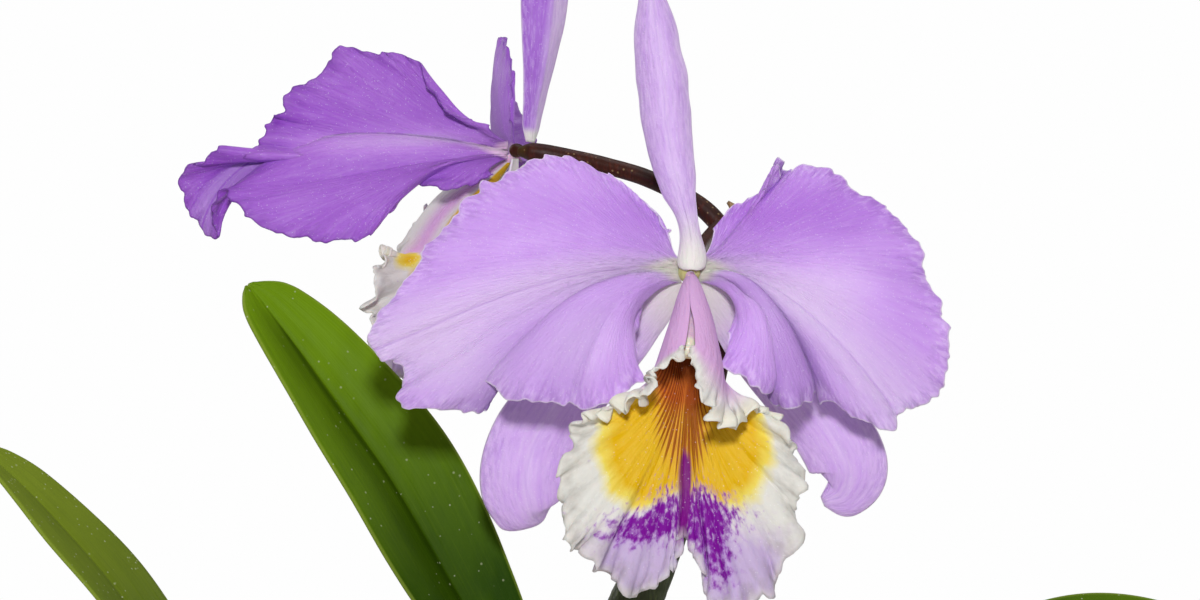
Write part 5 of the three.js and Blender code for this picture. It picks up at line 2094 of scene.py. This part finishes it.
@dataclass
class Footing:
    """The creeping rhizome and the roots, the first of which hang free and end in green tips."""

    sweep: NodeTree
    wood: Material
    velamen: Material
    hanging: int = 2

    def build(self) -> None:
        """Makes the rhizome and the roots."""
        scars = tuple(np.linspace(0.03, 0.97, 34))
        thick = ((0, 2.5), (0.08, 4.2), (0.92, 4.2), (1, 2.5))
        rhizome = Stalk("rhizome_woody", RHIZOME_PATH, thick, self.wood, 28, 220, lumps=0.9, lump_size=5,
                        joints=scars)
        place(rhizome.grow(self.sweep), "rhizome", Slot.RHIZOME)
        for k, path in enumerate(ROOTS):
            root = Stalk(f"root_{k + 1}_chalky", path, ((0, 2.1), (0.8, 1.9), (1, 1.3)), self.velamen, 16,
                         14 * len(path), lumps=0.7, lump_size=6,
                         green=(lambda t: rise(t, 0.86, 0.94)) if k < self.hanging else None)
            place(root.grow(self.sweep), f"root_{k + 1}", Slot.ROOT)


# ---- pot and bark


@dataclass
class Pot:
    """A thrown terracotta pot with a collar and drain holes."""

    clay: Material
    height: float = 110.0
    rim: float = 68.0
    base: float = 47.0
    wall: float = 6.0
    floor: float = 9.0
    collar: float = 24.0
    step: float = 3.0
    sides: int = 144
    hole: float = 5.5
    hole_ring: float = 25.0
    holes: int = 4

    def radius(self, z: Array | float) -> Array | float:
        """Gives the outer radius of the body below the collar."""
        return self.base + (self.rim - self.step - self.base) / self.height * z

    def outline(self) -> Array:
        """Draws half the pot's section, with soft edges and faint throwing rings.

        Returns:
            Radius and height of each point.
        """
        low = self.height - self.collar
        key = [
            (self.base - 2.2, 0), (self.base - 0.7, 0.5), (self.base, 2), (self.radius(low) + 0.2, low - 0.3),
            (self.radius(low) + 2.2, low + 0.6), (self.radius(low) + self.step + 0.5, low + 3),
            (self.rim, self.height - 3), (self.rim - 0.5, self.height - 1), (self.rim - 2, self.height),
            (self.rim - 5, self.height), (self.rim - self.wall - 0.9, self.height - 0.6),
            (self.radius(self.height) - self.wall, self.height - 3.5),
            (self.radius(self.floor) - self.wall + 0.6, self.floor + 3),
            (self.radius(self.floor) - self.wall - 3, self.floor),
        ]
        points = [np.array(key[0], float)]
        for start, end in zip(key, key[1:]):
            start, end = np.array(start, float), np.array(end, float)
            count = max(1, int(np.linalg.norm(end - start) / 2.2))
            for k in range(1, count + 1):
                point = start + (end - start) * k / count
                thrown = float(rise(point[1], 3, 8) * (1 - rise(point[1], 104, 108)))
                points.append(point + np.array([0.16 * math.sin(point[1] / 1.9) * thrown, 0]))
        return np.array(points)

    def build(self) -> None:
        """Makes the pot, cuts its drain holes and puts it in its place."""
        outline, angle = self.outline(), ring_angles(self.sides)
        radius = outline[:, :1] + 0.18 * drift(401, 4 * np.cos(angle), outline[:, 1:] / 30)
        rings = np.stack([radius * np.cos(angle), radius * np.sin(angle), outline[:, 1:] + 0 * angle], -1)
        body = make_mesh("pot_undrilled", rings.reshape(-1, 3), capped_faces(*rings.shape[:2]))
        body.materials.append(self.clay)
        holder = shown("pot_undrilled", body)
        cutters = []
        for k in range(self.holes):
            turn = 2 * math.pi * (k + 0.5) / self.holes
            x, y = self.hole_ring * math.cos(turn), self.hole_ring * math.sin(turn)
            middle, radius = ((x, y, -6), (x, y, 4), (x, y, 16)), ((0, self.hole), (1, self.hole))
            cutters.append(spindle("drill", middle, radius, 32, 4, self.clay, up=(0, 1, 0)))
        tool = shown("drill", joined("drill", cutters))
        cut = holder.modifiers.new("holes", "BOOLEAN")
        cut.operation, cut.object, cut.solver = "DIFFERENCE", tool, "EXACT"
        mesh = kept(holder, "pot_thrown")
        bpy.data.objects.remove(tool)
        mesh.set_sharp_from_angle(angle=math.radians(40))
        x, y, z = places_of(mesh).T
        turn = np.arctan2(y, x)
        paint_masks(mesh, {
            "damp": 0.9 * (1 - rise(z, 8, 60 + 14 * drift(403, 5 * np.cos(turn)))),
            "lime": 0.55 * bump(z, 84, 10) + 0.5 * bump(z, 108, 5) + 0.25 * drift(405, 3 * turn),
        })
        place(mesh, "pot", Slot.TERRACOTTA)


def scatter_tree() -> NodeTree:
    """Builds the tree that strews chips over a bed.

    Returns:
        The tree, with inputs Chips, Density, Smallest, Largest, Tilt, Seed and Skin.
    """
    inputs = {
        "Bed": "Geometry", "Chips": "Collection", "Density": "Float", "Smallest": "Float", "Largest": "Float",
        "Tilt": "Float", "Seed": "Int", "Skin": "Material",
    }
    tree = new_growth("Chips strewn over a bed", inputs, "Bark")
    given = add_node(tree, "NodeGroupInput").outputs
    spread = {
        "Mesh": given["Bed"], "Distance Min": 0.006, "Density Max": given["Density"], "Density Factor": 1.0,
        "Seed": given["Seed"],
    }
    dots = add_node(tree, "GeometryNodeDistributePointsOnFaces", spread, distribute_method="POISSON")
    chips = {"Collection": given["Chips"], "Separate Children": True, "Reset Children": True}
    kinds = add_node(tree, "GeometryNodeCollectionInfo", chips)
    tilt = given["Tilt"]
    lean = add_node(tree, "ShaderNodeMath", {0: tilt, 1: -1.0}, operation="MULTIPLY")
    least = add_node(tree, "ShaderNodeCombineXYZ", {0: lean, 1: lean, 2: 0.0})
    most = add_node(tree, "ShaderNodeCombineXYZ", {0: tilt, 1: tilt, 2: 2 * math.pi})
    turns = {"Min": least, "Max": most, "Seed": given["Seed"]}
    turn = add_node(tree, "FunctionNodeRandomValue", turns, data_type="FLOAT_VECTOR")
    sizes = {2: given["Smallest"], 3: given["Largest"], "Seed": given["Seed"]}
    size = add_node(tree, "FunctionNodeRandomValue", sizes, data_type="FLOAT")
    strewn = {
        "Points": dots.outputs["Points"], "Instance": kinds, "Pick Instance": True,
        "Rotation": add_node(tree, "FunctionNodeEulerToRotation", {0: turn}),
        "Scale": size.outputs["Value"],
    }
    bark = add_node(tree, "GeometryNodeInstanceOnPoints", strewn)
    real = add_node(tree, "GeometryNodeRealizeInstances", {"Geometry": bark})
    skin = add_node(tree, "GeometryNodeSetMaterial", {"Geometry": real, "Material": given["Skin"]})
    add_node(tree, "NodeGroupOutput", {0: skin})
    return tree


@dataclass
class BarkBed:
    """The potting bark: a lumpy bed under a layer of broken chips.

    Each strewing has a seed, chips a square metre, its smallest and largest size, and a tilt in radians.
    """

    skin: Material
    top: float = 96.0
    bottom: float = 9.4
    top_radius: float = 58.3
    bottom_radius: float = 40.0
    strewn_radius: float = 52.5
    kinds: int = 8
    strewings: Sequence[tuple[int, float, float, float, float]] = (
        (7, 26000.0, 0.7, 1.25, 0.35), (8, 16000.0, 0.45, 0.8, 0.7),
    )

    def bed(self) -> Mesh:
        """Makes the closed heap that fills the pot.

        Returns:
            The heap.
        """
        ring, angle = np.linspace(0, 1, 26)[1:, None], ring_angles(96)
        x, y = self.top_radius * ring * np.cos(angle), self.top_radius * ring * np.sin(angle)
        z = self.top - 2 + 2.2 * drift(501, x / 9, y / 9) + drift(502, x / 4, y / 4)
        shrink = self.bottom_radius / self.top_radius
        x, y = (np.vstack([part, part[-1:] * shrink]) for part in (x, y))
        z = np.vstack([z, np.full_like(z[-1:], self.bottom)])
        number, after = numbered(*z.shape)
        faces = np.stack([number[:-1], number[1:], after[1:], after[:-1]], -1).reshape(-1, 4).tolist()
        faces += [[z.size, number[0, k], after[0, k]] for k in range(z.shape[1])]
        faces += [number[-1, ::-1].tolist()]
        points = np.concatenate([np.stack([x, y, z], -1).reshape(-1, 3), [[0, 0, self.top - 2]]])
        mesh = make_mesh("bark_bed", points, faces)
        mesh.materials.append(self.skin)
        return mesh

    def chips(self) -> Collection:
        """Makes the few kinds of chip: split slabs with crooked corners.

        Returns:
            A collection of them, at about 12 mm long.
        """
        store = bpy.data.collections.new("Bark chips")
        for k in range(self.kinds):
            rng = np.random.default_rng(600 + k)
            long, wide, high = rng.uniform(8, 13), rng.uniform(4.5, 8), rng.uniform(2, 4.2)
            angle, swell, rings = ring_angles(8)[0], (0.72, 1.0, 0.95, 0.66), []
            for share, size in zip(np.linspace(0, 1, len(swell)), swell):
                square = size / np.maximum(np.abs(np.cos(angle)), np.abs(np.sin(angle))) ** 0.75
                rough = 1 + 0.16 * rng.uniform(-1, 1, angle.size)
                y, z = wide / 2 * square * rough * np.cos(angle), high / 2 * square * rough * np.sin(angle)
                x = np.full(angle.size, long * (share - 0.5)) + 0.7 * rng.uniform(-1, 1, angle.size)
                rings.append(np.stack([x, y, z + 0.5 * math.sin(3 * share)], -1))
            faces = capped_faces(len(swell), angle.size)
            chip = make_mesh(f"chip_{k}", np.concatenate(rings), faces, smooth=False)
            store.objects.link(bpy.data.objects.new(chip.name, chip))
        return store

    def build(self) -> None:
        """Strews the chips over the bed and puts both in the pot."""
        tree, store = scatter_tree(), self.chips()
        field = bpy.data.meshes.new("field")
        angle = ring_angles(40)[0]
        x, y = self.strewn_radius * np.cos(angle), self.strewn_radius * np.sin(angle)
        ring = np.stack([x, y, np.full(angle.size, self.top + 0.2)], -1) * MM
        field.from_pydata(ring.tolist(), [], [list(range(angle.size))])
        parts = [self.bed()]
        for seed, density, small, large, tilt in self.strewings:
            inputs = {
                "Chips": store, "Density": density, "Smallest": small, "Largest": large, "Tilt": tilt,
                "Seed": seed, "Skin": self.skin,
            }
            parts.append(grown(f"chips_{seed}", field.copy(), tree, inputs))
        for chip in list(store.objects):
            bpy.data.objects.remove(chip)
        bpy.data.collections.remove(store)
        place(joined("bark_chips", parts), "bark", Slot.BARK)


# ---- studio


@dataclass
class Studio:
    """The floor, the lights, the white surround and the camera."""

    eye: Point = (2.75, -935, 384.4)
    film: float = 36.0
    focal: float = 98.18
    floor: float = 2200.0
    bloom: Point = (20, -30, 385)
    plant: Point = (0, 0, 250)

    def lamp(self, name: str, at: Point, towards: Point, size: float, power: float) -> None:
        """Adds a square lamp.

        Args:
            name: Its name.
            at: Its place, in millimetres.
            towards: The place that it points at.
            size: Its side, in millimetres.
            power: Its power, in watts.
        """
        light = bpy.data.lights.new(name, "AREA")
        light.size, light.energy = size * MM, power
        lamp = shown(name, light)
        lamp.location = np.array(at) * MM
        ahead = unit(np.array(towards, float) - np.array(at, float))
        lamp.rotation_euler = (math.acos(-ahead[2]), 0, math.atan2(ahead[1], ahead[0]) - math.pi / 2)

    def build(self) -> None:
        """Makes the studio."""
        scene = bpy.context.scene
        corners = [(x * self.floor, y * self.floor, 0) for x, y in ((-1, -1), (1, -1), (1, 1), (-1, 1))]
        ground = make_mesh("floor", np.array(corners), [(0, 1, 2, 3)], smooth=False)
        paper = bpy.data.materials.new("Floor, pale paper")
        paper.use_nodes = True
        shader = paper.node_tree.nodes["Principled BSDF"]
        shader.inputs["Base Color"].default_value = linear("e9e8e6")
        shader.inputs["Roughness"].default_value = 0.7
        ground.materials.append(paper)
        floor = shown("floor", ground)
        self.lamp("key", (2.75, -960, 660), self.bloom, 110, 6.6)
        self.lamp("overhead", (0, 100, 1500), self.plant, 900, 4)
        self.lamp("left_back", (-1000, 700, 800), self.plant, 600, 4)
        self.lamp("right_back", (1000, 700, 800), self.plant, 600, 4)
        world = bpy.data.worlds.new("White surround")
        world.use_nodes = True
        tree = world.node_tree
        seen = add_node(tree, "ShaderNodeLightPath").outputs["Is Camera Ray"]
        glow = add_node(tree, "ShaderNodeMapRange", {0: seen, 3: 0.16, 4: 1.0})
        tree.links.new(glow.outputs[0], tree.nodes["Background"].inputs["Strength"])
        tree.nodes["Background"].inputs["Color"].default_value = linear("fefefe")
        scene.world = world
        scene.view_settings.view_transform = "Standard"
        view = bpy.data.cameras.new("camera")
        view.lens, view.sensor_width = self.focal, self.film
        camera = shown("camera", view)
        camera.location = np.array(self.eye) * MM
        camera.rotation_euler = (math.pi / 2, 0, 0)
        scene.camera = camera


def main() -> None:
    """Builds the plant from the top down, then its studio."""
    logging.basicConfig(level=logging.INFO, format="%(name)s %(message)s")
    Studio().build()
    petal = petal_finish(
        "Petal, satin lilac", ground="d5a8f4", flush="b475de", deep="4f2c7c", rim="f3ebfa", claw="f1ece0",
        band=(15, 0.55), line=0.25, streaks=0.2,
    ).build()
    # The back bloom's petals: a darker copy of the petal finish, partly their own deeper purple and partly
    # painted shade.
    shaded_petal = petal_finish(
        "Petal, satin purple", ground="c084e6", flush="9440c8", deep="421a6c", rim="6d3a9a", claw="ffd4fb",
        band=(5, 0.25), line=0.6, streaks=0.15,
    ).build()
    sepal = petal_finish(
        "Sepal, veined lilac", ground="e6c8f8", flush="ac6cda", deep="6a4494", rim="ead9f4", claw="efeae6",
        band=(2, 0.25), line=0.1, streaks=0.3,
    ).build()
    Blooms(petal, shaded_petal, sepal, LIP_FINISH.build(), COLUMN_FINISH.build()).build()
    sweep = sweep_tree()
    sheath = paper_finish("Sheath, leathery green", "37401a", "20240c", "5d6a2c", (0.4, 0.55)).build()
    dry = paper_finish("Bract, dry tissue", "9a7a4e", "5f4426", "c4a878", (0.65, 0.8)).build()
    FlowerStem(sweep, STEM_FINISH.build(), CUP_FINISH.build(), sheath, dry).build()
    fresh = leaf_finish("Leaf, waxy green", "6a8d0a", "244000", 0.008).build()
    old = leaf_finish("Leaf, dusty green", "788a24", "4c5f10", 0.022).build()
    Foliage(fresh, old).build()
    paper = paper_finish("Sheath, silver paper", "cbbd98", "8a7448", "e8e0c8", (0.65, 0.8)).build()
    Pseudobulbs(BULB_FINISH.build(), paper).build()
    Footing(sweep, RHIZOME_FINISH.build(), ROOT_FINISH.build()).build()
    Pot(TERRACOTTA_FINISH.build()).build()
    BarkBed(BARK_FINISH.build()).build()


if __name__ == "__main__":
    main()
